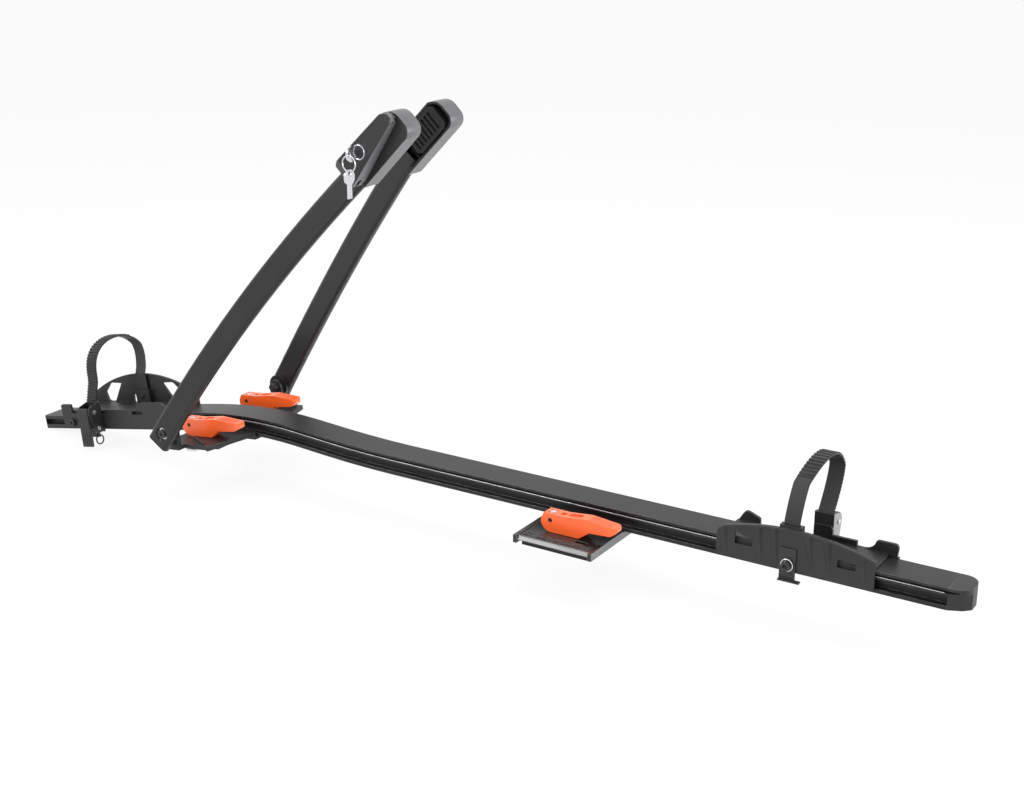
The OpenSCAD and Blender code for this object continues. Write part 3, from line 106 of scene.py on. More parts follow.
# Levels of finer noise in each texture that is made of noise, and the stretch of two of them
GRAIN_DETAIL = {Grain.POWDER: 2.0, Grain.DRAWN: 3.0, Grain.RUBBER: 6.0, Grain.POLISHED: 2.0}
GRAIN_STRETCH = {Grain.DRAWN: (0.015, 1.0, 1.0), Grain.POLISHED: (1.0, 0.2, 1.0)}

# How square a face is to the axis of a finish's second colour, from none of that colour to all of
# it; on the jaw and the foot plate the two colours paint side light
TONE_SPAN: Span = (0.93, 0.97)

# How far the rounded normal agrees with the true one, from a fully tinted edge to a flat face; the
# edge tint is rubbing, and on the rail and the foot plate partly a painted highlight
RIM_SPAN: Span = (0.80, 0.98)
BEVEL_SAMPLES = 4

# Scuffs that break the tinted edges up
SCUFF_SIZE = 9 * MM
SCUFF_DETAIL = 4.0
SCUFF_SPAN: Span = (0.35, 0.65)
SCUFF_SHARE: Span = (0.25, 1.0)

# Large patches in which a colour is a little lighter
PATCH_SIZE = 45 * MM
PATCH_DETAIL = 3.0
PATCH_SPAN: Span = (0.3, 0.7)

# Roughness over the texture's height, as factors of the finish's own
GLOSS_SPAN: Span = (0.2, 0.8)
GLOSS_SWING: Span = (0.88, 1.12)
COAT_ROUGHNESS = 0.25
BUMP_STRENGTH = 0.6

# Sockets of a Mix node that mixes colours
MIX_FIRST, MIX_SECOND, MIX_RESULT = 6, 7, 2


class Graph:
    """The node tree of a material or of the world, with short ways to add to it."""

    def __init__(self, owner: "bpy.types.Material | bpy.types.World") -> None:
        """Turns the owner's nodes on.

        Args:
            owner: The material or the world.
        """
        self.owner = owner
        self.owner.use_nodes = True
        self.tree = owner.node_tree

    def find(self, kind: str) -> bpy.types.Node:
        """The first node of a type.

        Args:
            kind: The type, as a node names its own.

        Returns:
            The node.
        """
        return next(n for n in self.tree.nodes if n.type == kind)

    def add(self, kind: str, **settings: object) -> bpy.types.Node:
        """Adds a node.

        Args:
            kind: Blender's name of the node type.
            **settings: Attributes to set on the node.

        Returns:
            The new node.
        """
        node = self.tree.nodes.new(kind)
        for key, value in settings.items():
            setattr(node, key, value)
        return node

    def link(self, source: bpy.types.NodeSocket, target: bpy.types.NodeSocket) -> None:
        """Joins an output to an input.

        Args:
            source: The output.
            target: The input.
        """
        self.tree.links.new(source, target)

    def stretched(self, scale: Point) -> bpy.types.NodeSocket:
        """Object coordinates, scaled along each axis.

        Args:
            scale: Factor along x, y and z.

        Returns:
            The scaled coordinates.
        """
        place = self.add("ShaderNodeTexCoord").outputs["Object"]
        if scale == EVEN:
            return place
        mapping = self.add("ShaderNodeMapping")
        mapping.inputs["Scale"].default_value = scale
        self.link(place, mapping.inputs["Vector"])
        return mapping.outputs["Vector"]

    def noise(self, size: float, detail: float, scale: Point = EVEN) -> bpy.types.NodeSocket:
        """Noise with features of a given size.

        Args:
            size: Feature size in metres.
            detail: Levels of finer noise.
            scale: Stretch of the coordinates along each axis.

        Returns:
            The noise value, from 0 to 1.
        """
        node = self.add("ShaderNodeTexNoise")
        node.inputs["Scale"].default_value = 1.0 / size
        node.inputs["Detail"].default_value = detail
        self.link(self.stretched(scale), node.inputs["Vector"])
        return node.outputs[0]

    def cells(self, size: float) -> bpy.types.NodeSocket:
        """Rounded cells of a given size, as spark-eroded moulds leave them.

        Args:
            size: Cell size in metres.

        Returns:
            The height over the cells.
        """
        node = self.add("ShaderNodeTexVoronoi", feature="SMOOTH_F1")
        node.inputs["Scale"].default_value = 1.0 / size
        self.link(self.stretched(EVEN), node.inputs["Vector"])
        return node.outputs["Distance"]

    def ramp(self, source: bpy.types.NodeSocket, span: Span, result: Span) -> bpy.types.NodeSocket:
        """Maps a value from one span to another, clamped.

        Args:
            source: The value.
            span: Its lowest and highest value.
            result: What these become.

        Returns:
            The mapped value.
        """
        node = self.add("ShaderNodeMapRange", clamp=True)
        for key, value in zip(("From Min", "From Max", "To Min", "To Max"), span + result):
            node.inputs[key].default_value = value
        self.link(source, node.inputs["Value"])
        return node.outputs["Result"]

    def combine(self, operation: str, a: bpy.types.NodeSocket,
                b: bpy.types.NodeSocket) -> bpy.types.NodeSocket:
        """Combines two values.

        Args:
            operation: Blender's name of the operation.
            a: One value.
            b: The other value.

        Returns:
            The combined value.
        """
        node = self.add("ShaderNodeMath", operation=operation)
        self.link(a, node.inputs[0])
        self.link(b, node.inputs[1])
        return node.outputs[0]

    def mix(self, share: bpy.types.NodeSocket, first: "bpy.types.NodeSocket | Colour",
            second: Colour) -> bpy.types.NodeSocket:
        """Mixes two colours.

        Args:
            share: Share of the second colour.
            first: A colour, or the output that gives it.
            second: The other colour.

        Returns:
            The mixed colour.
        """
        node = self.add("ShaderNodeMix", data_type="RGBA")
        self.link(share, node.inputs["Factor"])
        if isinstance(first, tuple):
            node.inputs[MIX_FIRST].default_value = (*first, 1.0)
        else:
            self.link(first, node.inputs[MIX_FIRST])
        node.inputs[MIX_SECOND].default_value = (*second, 1.0)
        return node.outputs[MIX_RESULT]


@dataclass(frozen=True)
class Finish:
    """One surface finish: colour, gloss, texture and rubbed edges, which on some finishes also
    carry a painted highlight.

    Attributes:
        name: The material's name.
        colour: Its base colour.
        roughness: Its mean roughness.
        grain: The kind of its texture.
        grain_size: Size of the texture's features, in metres.
        relief: Depth of the texture, in metres.
        metallic: Share of metal.
        uneven: How much lighter its pale patches are.
        edge: Radius over which edges are rounded and tinted, in metres.
        wear_and_highlight: Share of the edge colour on an edge.
        wear_and_highlight_colour: Colour of rubbed edges; on the rail and the foot plate it is
            lighter and partly a painted highlight.
        coat: Weight of a clear coat.
        specular: Level of reflection.
        tone_axis: Axis to which faces of another colour are square, if there are any. On the jaw
            the faces square to it are dark and its light grey sides are painted side light, and on
            the foot plate the faces square to it are a light grey that is painted side light.
        tone_colour: Colour of these faces.
    """

    name: str
    colour: Colour
    roughness: float
    grain: Grain
    grain_size: float
    relief: float
    metallic: float = 0.0
    uneven: float = 0.25
    edge: float = 0.8 * MM
    wear_and_highlight: float = 0.35
    wear_and_highlight_colour: Colour = (0.25, 0.25, 0.26)
    coat: float = 0.0
    specular: float = 0.5
    tone_axis: Point | None = None
    tone_colour: Colour = (0.03, 0.03, 0.03)

    def facing_tone(self, graph: Graph, shade: bpy.types.NodeSocket) -> bpy.types.NodeSocket:
        """Colours the flat faces that are square to the given axis; on the jaw and the foot plate
        the two colours paint side light on the sides.

        Args:
            graph: The material's node tree.
            shade: The colour of the other faces.

        Returns:
            The colour of all faces.
        """
        if self.tone_axis is None:
            return shade
        dot = graph.add("ShaderNodeVectorMath", operation="DOT_PRODUCT")
        graph.link(graph.add("ShaderNodeTexCoord").outputs["Normal"], dot.inputs[0])
        dot.inputs[1].default_value = self.tone_axis
        square = graph.add("ShaderNodeMath", operation="ABSOLUTE")
        graph.link(dot.outputs["Value"], square.inputs[0])
        share = graph.ramp(square.outputs[0], TONE_SPAN, UNIT)
        return graph.mix(share, shade, self.tone_colour)

    def edge_wear_and_highlight(self, graph: Graph, bevel: bpy.types.Node) -> bpy.types.NodeSocket:
        """Share of the edge colour: scuffed rubbing along the edges, with a painted highlight on
        some finishes, none on flat faces.

        Args:
            graph: The material's node tree.
            bevel: The node that rounds the normal near edges.

        Returns:
            The share.
        """
        facing = graph.add("ShaderNodeVectorMath", operation="DOT_PRODUCT")
        graph.link(bevel.outputs["Normal"], facing.inputs[0])
        graph.link(graph.add("ShaderNodeNewGeometry").outputs["Normal"], facing.inputs[1])
        rim = graph.ramp(facing.outputs["Value"], RIM_SPAN, (self.wear_and_highlight, 0.0))
        scuffs = graph.ramp(graph.noise(SCUFF_SIZE, SCUFF_DETAIL), SCUFF_SPAN, SCUFF_SHARE)
        return graph.combine("MULTIPLY", rim, scuffs)

    def height(self, graph: Graph) -> bpy.types.NodeSocket:
        """The texture's height.

        Args:
            graph: The material's node tree.

        Returns:
            The height, from 0 to 1.
        """
        if self.grain is Grain.MOULDED:
            return graph.cells(self.grain_size)
        return graph.noise(self.grain_size, GRAIN_DETAIL[self.grain],
                           GRAIN_STRETCH.get(self.grain, EVEN))

    def material(self) -> bpy.types.Material:
        """Builds the finish as a material.

        Returns:
            The new material.
        """
        graph = Graph(bpy.data.materials.new(self.name))
        shader = graph.find("BSDF_PRINCIPLED").inputs
        shader["Metallic"].default_value = self.metallic
        shader["Coat Weight"].default_value = self.coat
        shader["Specular IOR Level"].default_value = self.specular
        shader["Coat Roughness"].default_value = COAT_ROUGHNESS

        bevel = graph.add("ShaderNodeBevel", samples=BEVEL_SAMPLES)
        bevel.inputs["Radius"].default_value = self.edge
        edge_wear_and_highlight = self.edge_wear_and_highlight(graph, bevel)

        patch = graph.ramp(graph.noise(PATCH_SIZE, PATCH_DETAIL), PATCH_SPAN, UNIT)
        lighter = tuple(min(1.0, c * (1.0 + self.uneven)) for c in self.colour)
        shade = self.facing_tone(graph, graph.mix(patch, self.colour, lighter))
        graph.link(graph.mix(edge_wear_and_highlight, shade, self.wear_and_highlight_colour), shader["Base Color"])

        height = self.height(graph)
        low, high = (min(1.0, self.roughness * factor) for factor in GLOSS_SWING)
        graph.link(graph.ramp(height, GLOSS_SPAN, (low, high)), shader["Roughness"])
        bump = graph.add("ShaderNodeBump")
        bump.inputs["Strength"].default_value = BUMP_STRENGTH
        bump.inputs["Distance"].default_value = self.relief
        graph.link(height, bump.inputs["Height"])
        graph.link(bevel.outputs["Normal"], bump.inputs["Normal"])
        graph.link(bump.outputs["Normal"], shader["Normal"])
        return graph.owner


# The rail's light grey edge colour is partly rubbed anodising and partly a painted highlight along
# its edges and ledges.
ANODISED = Finish(
    name="black_anodised_rail", colour=(0.016, 0.016, 0.017), roughness=0.36, grain=Grain.DRAWN,
    grain_size=0.7 * MM, relief=0.04 * MM, metallic=0.2, wear_and_highlight=0.7, wear_and_highlight_colour=(0.40, 0.40, 0.41),
    specular=0.3)
TUBE = Finish(
    name="black_powder_coat", colour=(0.013, 0.013, 0.014), roughness=0.38, grain=Grain.POWDER,
    grain_size=1.1 * MM, relief=0.05 * MM, wear_and_highlight=0.35, wear_and_highlight_colour=(0.14, 0.14, 0.15), coat=0.3,
    specular=0.2)
BLACK_PLASTIC = Finish(
    name="black_moulded_plastic", colour=(0.014, 0.014, 0.015), roughness=0.46,
    grain=Grain.MOULDED, grain_size=0.7 * MM, relief=0.05 * MM, wear_and_highlight=0.45,
    wear_and_highlight_colour=(0.14, 0.14, 0.15), specular=0.4)
# Painted light: the jaw's side faces get a light grey that stands for the side light on them,
# while the faces square to y keep the dark plastic colour.
JAW_PLASTIC = Finish(
    name="jaw_plastic_with_painted_lit_sides", colour=(0.105, 0.107, 0.111), roughness=0.36,
    grain=Grain.MOULDED, grain_size=0.6 * MM, relief=0.03 * MM, wear_and_highlight=0.45,
    wear_and_highlight_colour=(0.36, 0.36, 0.37), specular=0.38, tone_axis=(0.0, 1.0, 0.0),
    tone_colour=(0.015, 0.015, 0.016))
JAW_FACE = Finish(
    name="dark_jaw_face", colour=(0.015, 0.015, 0.016), roughness=0.36, grain=Grain.MOULDED,
    grain_size=0.6 * MM, relief=0.03 * MM, wear_and_highlight=0.45, wear_and_highlight_colour=(0.30, 0.30, 0.31),
    specular=0.38)
# The buckle's cheeks, square to x, are a light grey; the rest of the buckle is black.
BUCKLE_STEEL = Finish(
    name="buckle_with_light_cheeks", colour=(0.015, 0.015, 0.016), roughness=0.40,
    grain=Grain.POWDER, grain_size=0.9 * MM, relief=0.04 * MM, wear_and_highlight=0.6,
    wear_and_highlight_colour=(0.30, 0.30, 0.31), tone_axis=(1.0, 0.0, 0.0), tone_colour=(0.24, 0.24, 0.245))
# Painted light: the foot plate's ends, square to x, get a light grey that stands for the side
# light on them, and its light grey edge colour is partly a painted highlight along its lips.
FOOT_PLATE = Finish(
    name="foot_plate_with_painted_lit_ends", colour=(0.016, 0.016, 0.017), roughness=0.24,
    grain=Grain.DRAWN, grain_size=0.7 * MM, relief=0.04 * MM, metallic=0.2, wear_and_highlight=0.75,
    wear_and_highlight_colour=(0.34, 0.34, 0.35), specular=0.6, tone_axis=(1.0, 0.0, 0.0),
    tone_colour=(0.17, 0.17, 0.175))
ORANGE_PLASTIC = Finish(
    name="orange_moulded_plastic", colour=(0.93, 0.115, 0.014), roughness=0.34,
    grain=Grain.MOULDED, grain_size=0.6 * MM, relief=0.03 * MM, uneven=0.10, wear_and_highlight=0.45,
    wear_and_highlight_colour=(1.0, 0.40, 0.20), coat=0.45)
STRAP_RUBBER = Finish(
    name="toothed_strap", colour=(0.017, 0.017, 0.018), roughness=0.46, grain=Grain.RUBBER,
    grain_size=1.2 * MM, relief=0.06 * MM, edge=0.4 * MM, wear_and_highlight=0.30,
    wear_and_highlight_colour=(0.09, 0.09, 0.09), specular=0.4)
PAD_RUBBER = Finish(
    name="pad_rubber", colour=(0.008, 0.008, 0.008), roughness=0.66, grain=Grain.RUBBER,
    grain_size=1.5 * MM, relief=0.08 * MM, wear_and_highlight=0.25, wear_and_highlight_colour=(0.05, 0.05, 0.05),
    specular=0.35)
ZINC = Finish(
    name="zinc_plated_steel", colour=(0.66, 0.67, 0.69), roughness=0.28, grain=Grain.POWDER,
    grain_size=0.9 * MM, relief=0.02 * MM, metallic=1.0, uneven=0.12, edge=0.4 * MM, wear_and_highlight=0.3,
    wear_and_highlight_colour=(0.85, 0.85, 0.86))
DARK_STEEL = Finish(
    name="black_steel", colour=(0.024, 0.024, 0.026), roughness=0.36, grain=Grain.POWDER,
    grain_size=1.0 * MM, relief=0.04 * MM, metallic=0.3, edge=0.5 * MM, wear_and_highlight=0.6,
    wear_and_highlight_colour=(0.36, 0.36, 0.37))
CHROME = Finish(
    name="polished_lock", colour=(0.62, 0.63, 0.65), roughness=0.16, grain=Grain.POLISHED,
    grain_size=0.6 * MM, relief=0.008 * MM, metallic=1.0, uneven=0.08, edge=0.3 * MM, wear_and_highlight=0.2,
    wear_and_highlight_colour=(0.85, 0.85, 0.86))

SLOT_FINISH = {
    "black_anodised": ANODISED,
    "black_tube": TUBE,
    "black_plastic": BLACK_PLASTIC,
    "grey_plastic": JAW_PLASTIC,
    "orange_plastic": ORANGE_PLASTIC,
    "strap_rubber": STRAP_RUBBER,
    "pad_rubber": PAD_RUBBER,
    "zinc_steel": ZINC,
    "dark_steel": DARK_STEEL,
    "chrome_lock": CHROME,
}

# Solids whose finish differs from their slot's
NODE_FINISH = {
    "rear_foot_plate": FOOT_PLATE,
    "rear_buckle_frame": BUCKLE_STEEL,
    "lock_cylinder": DARK_STEEL,
}


class Finishes:
    """Builds each finish once, and hands it out."""

    def __init__(self) -> None:
        """Starts with no material built."""
        self.built: dict[str, bpy.types.Material] = {}

    def get(self, finish: Finish) -> bpy.types.Material:
        """The material of a finish.

        Args:
            finish: The finish.

        Returns:
            Its material, made on first use.
        """
        if finish.name not in self.built:
            self.built[finish.name] = finish.material()
        return self.built[finish.name]


# Shapes


def mesh_piece(name: str, points: list[Vector], faces: Faces, smooth: bool) -> bpy.types.Object:
    """Makes an object from points and faces.

    Args:
        name: The piece's name.
        points: Its points in the shared frame, in metres.
        faces: Its faces, as indices of points.
        smooth: Whether the faces are shaded smooth.

    Returns:
        The new object, linked to the scene.
    """
    mesh = bpy.data.meshes.new(name)
    mesh.from_pydata(points, [], faces)
    mesh.validate()
    mesh.polygons.foreach_set("use_smooth", [smooth] * len(mesh.polygons))
    piece = bpy.data.objects.new(name, mesh)
    bpy.context.scene.collection.objects.link(piece)
    return piece


def joined(rings: list[Ring]) -> list[Vector]:
    """The points of a row of rings.

    Args:
        rings: The rings in order.

    Returns:
        All points, ring after ring.
    """
    return [point for ring in rings for point in ring]


def loft(rings: list[Ring], closed: bool) -> Faces:
    """Faces that join a row of rings of equal length.

    Args:
        rings: The rings in order.
        closed: Whether the last ring joins the first; if not, both ends are capped.

    Returns:
        The faces.
    """
    count = len(rings[0])
    faces: Faces = []
    for i in range(len(rings) if closed else len(rings) - 1):
        a, b = i * count, (i + 1) % len(rings) * count
        faces += [(a + k, a + (k + 1) % count, b + (k + 1) % count, b + k) for k in range(count)]
    if not closed:
        last = (len(rings) - 1) * count
        faces += [tuple(reversed(range(count))), tuple(range(last, last + count))]
    return faces


def loft_piece(name: str, rings: list[Ring], closed: bool, smooth: bool) -> bpy.types.Object:
    """Makes an object from a row of rings.

    Args:
        name: The piece's name.
        rings: The rings in order, in metres.
        closed: Whether the last ring joins the first.
        smooth: Whether the faces are shaded smooth.

    Returns:
        The new object, linked to the scene.
    """
    return mesh_piece(name, joined(rings), loft(rings, closed), smooth)


def turned(angle: float, axis: str) -> Matrix:
    """A turn about an axis.

    Args:
        angle: The angle in degrees.
        axis: The axis, "X", "Y" or "Z".

    Returns:
        The turn.
    """
    return Matrix.Rotation(math.radians(angle), 4, axis)


def at(x: float, y: float, z: float) -> Matrix:
    """A shift along x, y and z, in the caller's unit.

    Args:
        x: Shift along x.
        y: Shift along y.
        z: Shift along z.

    Returns:
        The shift.
    """
    return Matrix.Translation((x, y, z))


def joint_place(name: str) -> Matrix:
    """A shift to a joint's place at rest.

    Args:
        name: The joint's name.

    Returns:
        The shift in millimetres.
    """
    joint = next(j for j in frame["record"]["behaviour"]["joints"] if j["name"] == name)
    return Matrix.Translation(Vector(joint["pos_m"]) / MM)


# Places of the sub-assemblies, in millimetres and degrees

RAIL_Z = 3.59  # Underside of the rail's rear section
FRONT_START = (-54.315, 0.0, 0.117)  # Underside of the rail, where its front section starts
FRONT_DROP = 10.5  # Slope of that section
PLATE_PITCH = 6.2  # Pitch of the front bracket and of its levers
JAW_LEAN = 44.12  # Lean of the jaws at the arms' ends
FRONT_HOLDER_X = -177.0  # Along the front section
REAR_HOLDER_X = 878.0

REAR_HOLDER = at(REAR_HOLDER_X, 0.0, RAIL_Z)
FRONT_HOLDER = at(*FRONT_START) @ turned(-FRONT_DROP, "Y") @ at(FRONT_HOLDER_X, 0.0, 0.0)
FRONT_CLAMP = joint_place("near_clamp_swing") @ turned(-PLATE_PITCH, "Y")
FAR_CLAMP = joint_place("far_clamp_swing") @ turned(-PLATE_PITCH, "Y")
REAR_CLAMP = joint_place("rear_clamp_swing")
LOCK = joint_place("lock_turn") @ turned(HALF_TURN + JAW_LEAN, "Y") @ turned(-QUARTER_TURN, "X")

# A strap's leg in its buckle, out from the rail's middle
RAIL_HALF = 23.5
HOLDER_GAP = 0.3
HOLDER_PLATE = 4.0
BUCKLE_GAP = 0.2
BUCKLE_PLATE = 2.0
STRAP_GAP = 0.3
STRAP_THICK = 2.4
BUCKLE_LEG = (RAIL_HALF + HOLDER_GAP + HOLDER_PLATE + BUCKLE_GAP + BUCKLE_PLATE + STRAP_GAP
              + STRAP_THICK / 2)


# Sub-assemblies, in millimetres


@dataclass
class RatchetStrap:
    """A toothed strap swept up from its holder, over the wheel and down into the buckle.

    Attributes:
        name: The piece's name.
        node: The solid that it replaces.
        body: The body that it rides on.
        place: Its holder's place. The other sizes are in the holder's own frame.
        near: End of the leg on the near side.
        far: End of the leg on the far side.
        top: Height of the arch.
        spring: Height at which the arch starts.
        lean: How far the arch leans to the far side.
        bulge: How far the arch bulges out at its sides.
        cross: Shares of the run between which it goes from the near leg's x to the far leg's.
        sway: Shift along x at the top.
        toothed: Shares of the run between which it has teeth.
        width: Width of the band.
        thick: Thickness of the band without its teeth.
        tooth: Height of a tooth.
        pitch: About the length of one tooth and its gap.
        corner: Bevel of the section's corners.
        sway_start: Height above the spring at which the sway starts.
        probe: Half the run over which its direction is taken.
        profile: One tooth and its gap, as shares of the pitch and of the tooth's height.
    """

    name: str
    node: str
    body: str
    place: Matrix
    near: Point
    far: Point
    top: float
    spring: float
    lean: float
    bulge: float
    cross: Span
    sway: float
    toothed: Span
    width: float = 20.0
    thick: float = STRAP_THICK
    tooth: float = 1.3
    pitch: float = 4.4
    corner: float = 0.5
    sway_start: float = 8.0
    probe: float = 1.0
    profile: Profile = (
        (0.0, 0.85), (0.04, 0.98), (0.12, 1.0), (0.30, 1.0), (0.38, 0.95), (0.43, 0.7),
        (0.49, 0.2), (0.54, 0.0), (0.70, 0.0), (0.86, 0.0), (0.92, 0.2), (0.96, 0.55))

    def path(self) -> list[tuple[float, float]]:
        """The strap's centre line.

        Returns:
            Its y and z, near leg first.
        """
        middle, reach = (self.near[1] + self.far[1]) / 2, (self.far[1] - self.near[1]) / 2
        line = [self.near[1:]]
        for degrees in range(HALF_TURN + 1):
            a = math.radians(degrees)
            across = (middle - reach * math.cos(a) + self.lean * math.sin(a)
                      - self.bulge * math.sin(2 * a))
            line.append((across, self.spring + (self.top - self.spring) * math.sin(a)))
        return line + [self.far[1:]]

    def section(self, out: float) -> list[tuple[float, float]]:
        """The strap's section.

        Args:
            out: Height of the outer face above the centre line.

        Returns:
            Points across and through the strap.
        """
        half, low, r = self.width / 2, -self.thick / 2, self.corner
        return [(-half, low + r), (-half + r, low), (half - r, low), (half, low + r),
                (half, out - r), (half - r, out), (-half + r, out), (-half, out - r)]

    def along_x(self, share: float, height: float) -> float:
        """Place of the strap's middle along x.

        Args:
            share: Share of the run.
            height: Height of the centre line there.

        Returns:
            The place.
        """
        crossed = min(1.0, max(0.0, (share - self.cross[0]) / (self.cross[1] - self.cross[0])))
        raised = max(0.0, (height - self.spring - self.sway_start)
                     / (self.top - self.spring - self.sway_start))
        return self.near[0] + (self.far[0] - self.near[0]) * crossed + self.sway * raised

    def rings(self) -> list[Ring]:
        """The sections along the strap.

        Returns:
            The sections in order, in metres in the shared frame.
        """
        line = self.path()
        runs = [0.0]
        for p, q in zip(line, line[1:]):
            runs.append(runs[-1] + math.dist(p, q))
        total = runs[-1]
        step = total / math.floor(total / self.pitch)

        def place_at(u: float) -> Vector:
            """Point of the centre line at a run length."""
            u = min(max(u, 0.0), total)
            i = next(k for k in range(len(runs) - 1) if u <= runs[k + 1] + TINY)
            share = (u - runs[i]) / max(runs[i + 1] - runs[i], TINY)
            return Vector(line[i]).lerp(Vector(line[i + 1]), share)

        rings: list[Ring] = []
        for i in range(round(total / step)):
            for phase, lift in self.profile:
                u = (i + phase) * step
                share = u / total
                spot = place_at(u)
                along = place_at(u + self.probe) - place_at(u - self.probe)
                outward = Vector((-along.y, along.x)).normalized()
                x = self.along_x(share, spot.y)
                ribbed = self.toothed[0] < share < self.toothed[1]
                out = self.thick / 2 + (self.tooth * lift if ribbed else 0.0)
                ring: Ring = []
                for across, through in self.section(out):
                    flat = spot + outward * through
                    ring.append(self.place @ Vector((x + across, flat.x, flat.y)) * MM)
                rings.append(ring)
        return rings

    def build(self, finishes: Finishes) -> None:
        """Makes the strap and puts it in the solid's place.

        Args:
            finishes: The materials.
        """
        rings = self.rings()
        piece = loft_piece(self.name, rings, closed=False, smooth=False)
        piece.data.materials.append(finishes.get(STRAP_RUBBER))
        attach(piece, self.body)
        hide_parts(self.node)
        log.info("strap %s: %d rings", self.name, len(rings))


@dataclass
class LeverGrip:
    """Waffle of small studs on the thumb end of a clamp lever.

    Attributes:
        name: The piece's name.
        body: The lever's body.
        place: The lever's hinge. The sizes are in the lever's own frame.
        rows: Number of studs along the lever.
        columns: Number of studs across it.
        pitch_x: Distance between studs along the lever.
        pitch_y: Distance between studs across it.
        start_x: Place of the first row.
        rise_x: Place at which the height of the lever's top is known.
        rise_z: That height.
        slope: Rise of the lever's top towards its end.
        tiers: Half a stud's size along and across, and the height over the lever's top, from its
            sunk foot to its tip.
    """

    name: str
    body: str
    place: Matrix
    rows: int = 10
    columns: int = 5
    pitch_x: float = 3.0
    pitch_y: float = 2.7
    start_x: float = 57.0
    rise_x: float = 52.0
    rise_z: float = 12.4
    slope: float = -3.9 / 40.0
    tiers: tuple[Point, ...] = ((1.15, 1.0, -0.2), (0.95, 0.85, 0.385), (0.6, 0.5, 0.55))

    def spot(self, x: float, y: float, lift: float) -> Vector:
        """A point over the lever's top.

        Args:
            x: Place along the lever.
            y: Place across it.
            lift: Height over its top.

        Returns:
            The point, in metres in the shared frame.
        """
        level = self.rise_z + (x - self.rise_x) * self.slope + lift
        return self.place @ Vector((x, y, level)) * MM

    def build(self, finishes: Finishes) -> None:
        """Makes the studs in one mesh.

        Args:
            finishes: The materials.
        """
        points: list[Vector] = []
        faces: Faces = []
        for row in range(self.rows):
            for column in range(self.columns):
                x = self.start_x + row * self.pitch_x
                y = (column - (self.columns - 1) / 2) * self.pitch_y
                rings = [[self.spot(x + sx * half_x, y + sy * half_y, lift) for sx, sy in CORNERS]
                         for half_x, half_y, lift in self.tiers]
                base = len(points)
                points += joined(rings)
                faces += [tuple(base + i for i in face) for face in loft(rings, False)]
        piece = mesh_piece(self.name, points, faces, False)
        piece.data.materials.append(finishes.get(ORANGE_PLASTIC))
        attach(piece, self.body)
        log.info("grip %s: %d studs", self.name, self.rows * self.columns)


@dataclass
class LockBezel:
    """Bright ring round the lock in the jaw lever.

    Attributes:
        name: The piece's name.
        profile: Its section, as radii and depths into the lever.
        steps: Number of sections round it.
    """

    name: str = "lock_bezel"
    profile: Profile = (
        (8.15, 0.3), (8.15, -0.9), (8.6, -1.25), (9.4, -1.25), (10.0, -0.8), (10.2, 0.3))
    steps: int = 64

    def build(self, finishes: Finishes) -> None:
        """Makes the ring.

        Args:
            finishes: The materials.
        """
        rings: list[Ring] = []
        for i in range(self.steps):
            a = 2 * math.pi * i / self.steps
            rings.append([LOCK @ Vector((r * math.cos(a), r * math.sin(a), z)) * MM
                          for r, z in self.profile])
        piece = loft_piece(self.name, rings, closed=True, smooth=True)
        piece.data.materials.append(finishes.get(CHROME))
        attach(piece, "jaw_lever")
        log.info("lock bezel")


@dataclass
class LeverHood:
    """Rounded upper end of the jaw lever, over its hinge. The sizes are in the jaw's own frame.

    Attributes:
        name: The piece's name.
        middle: The nose's middle, across the jaw.
        nose_r: Radius of the nose, seen from outside.
        end_y: End of the nose along the jaw.
        inset: How far the hood stays inside that outline.
        pin: The hinge pin's place along and into the jaw.
        clear: Distance that the hood keeps from the pin's middle.
        root: Distance that the open lever keeps from the pin, where the knuckle's root is.
        swing: How far the lever opens, in degrees.
        outer: The outer face, as places along and into the jaw.
        round_r: Largest rounding of the outer edges.
        round_share: Largest share of the hood's thickness that the rounding takes.
        round_mid: The rounding's middle point, as shares in from the side and from the face.
        lock: The lock's place, from which the lever's place is known.
    """

    name: str = "jaw_lever_hood"
    middle: float = 10.0
    nose_r: float = 10.0
    end_y: float = 103.0
    inset: float = 0.05
    pin: tuple[float, float] = (97.0, -6.3)
    clear: float = 6.2
    root: float = 5.8
    swing: float = 75.0
    outer: Profile = (
        (96.2, -13.85), (97.6, -13.8), (99.0, -13.6), (100.4, -13.2), (101.6, -12.5),
        (102.3, -11.7), (102.6, -11.15))
    round_r: float = 1.2
    round_share: float = 0.6
    round_mid: tuple[float, float] = (0.4, 0.3)
    lock: Point = (6.0, 41.0, -20.5586)

    def inside(self, y: float) -> float:
        """Depth of the inner face, clear of the knuckle and of its root as the lever opens.

        Args:
            y: Place along the jaw.

        Returns:
            The depth.
        """
        past, turn = y - self.pin[0], math.radians(self.swing)
        knuckle = math.sqrt(max(0.0, self.clear ** 2 - past ** 2))
        root = (self.root - past * math.cos(turn)) / math.sin(turn)
        return self.pin[1] - max(knuckle, root)

    def build(self, finishes: Finishes) -> None:
        """Makes the hood.

        Args:
            finishes: The materials.
        """
        rings: list[Ring] = []
        for y, z in self.outer:
            inner = self.inside(y)
            past = y - self.end_y + self.nose_r
            wide = math.sqrt(self.nose_r ** 2 - past ** 2) - self.inset
            soft = min(self.round_r, (inner - z) * self.round_share)
            mid_x, mid_z = (soft * share for share in self.round_mid)
            half = [(wide - soft, z), (wide - mid_x, z + mid_z), (wide, z + soft), (wide, inner)]
            shape = [(-x, depth) for x, depth in reversed(half)] + half
            rings.append([LOCK @ (Vector((self.middle + x, y, depth)) - Vector(self.lock)) * MM
                          for x, depth in shape])
        piece = loft_piece(self.name, rings, closed=False, smooth=False)
        piece.data.materials.append(finishes.get(JAW_FACE))
        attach(piece, "jaw_lever")
        log.info("lever hood")


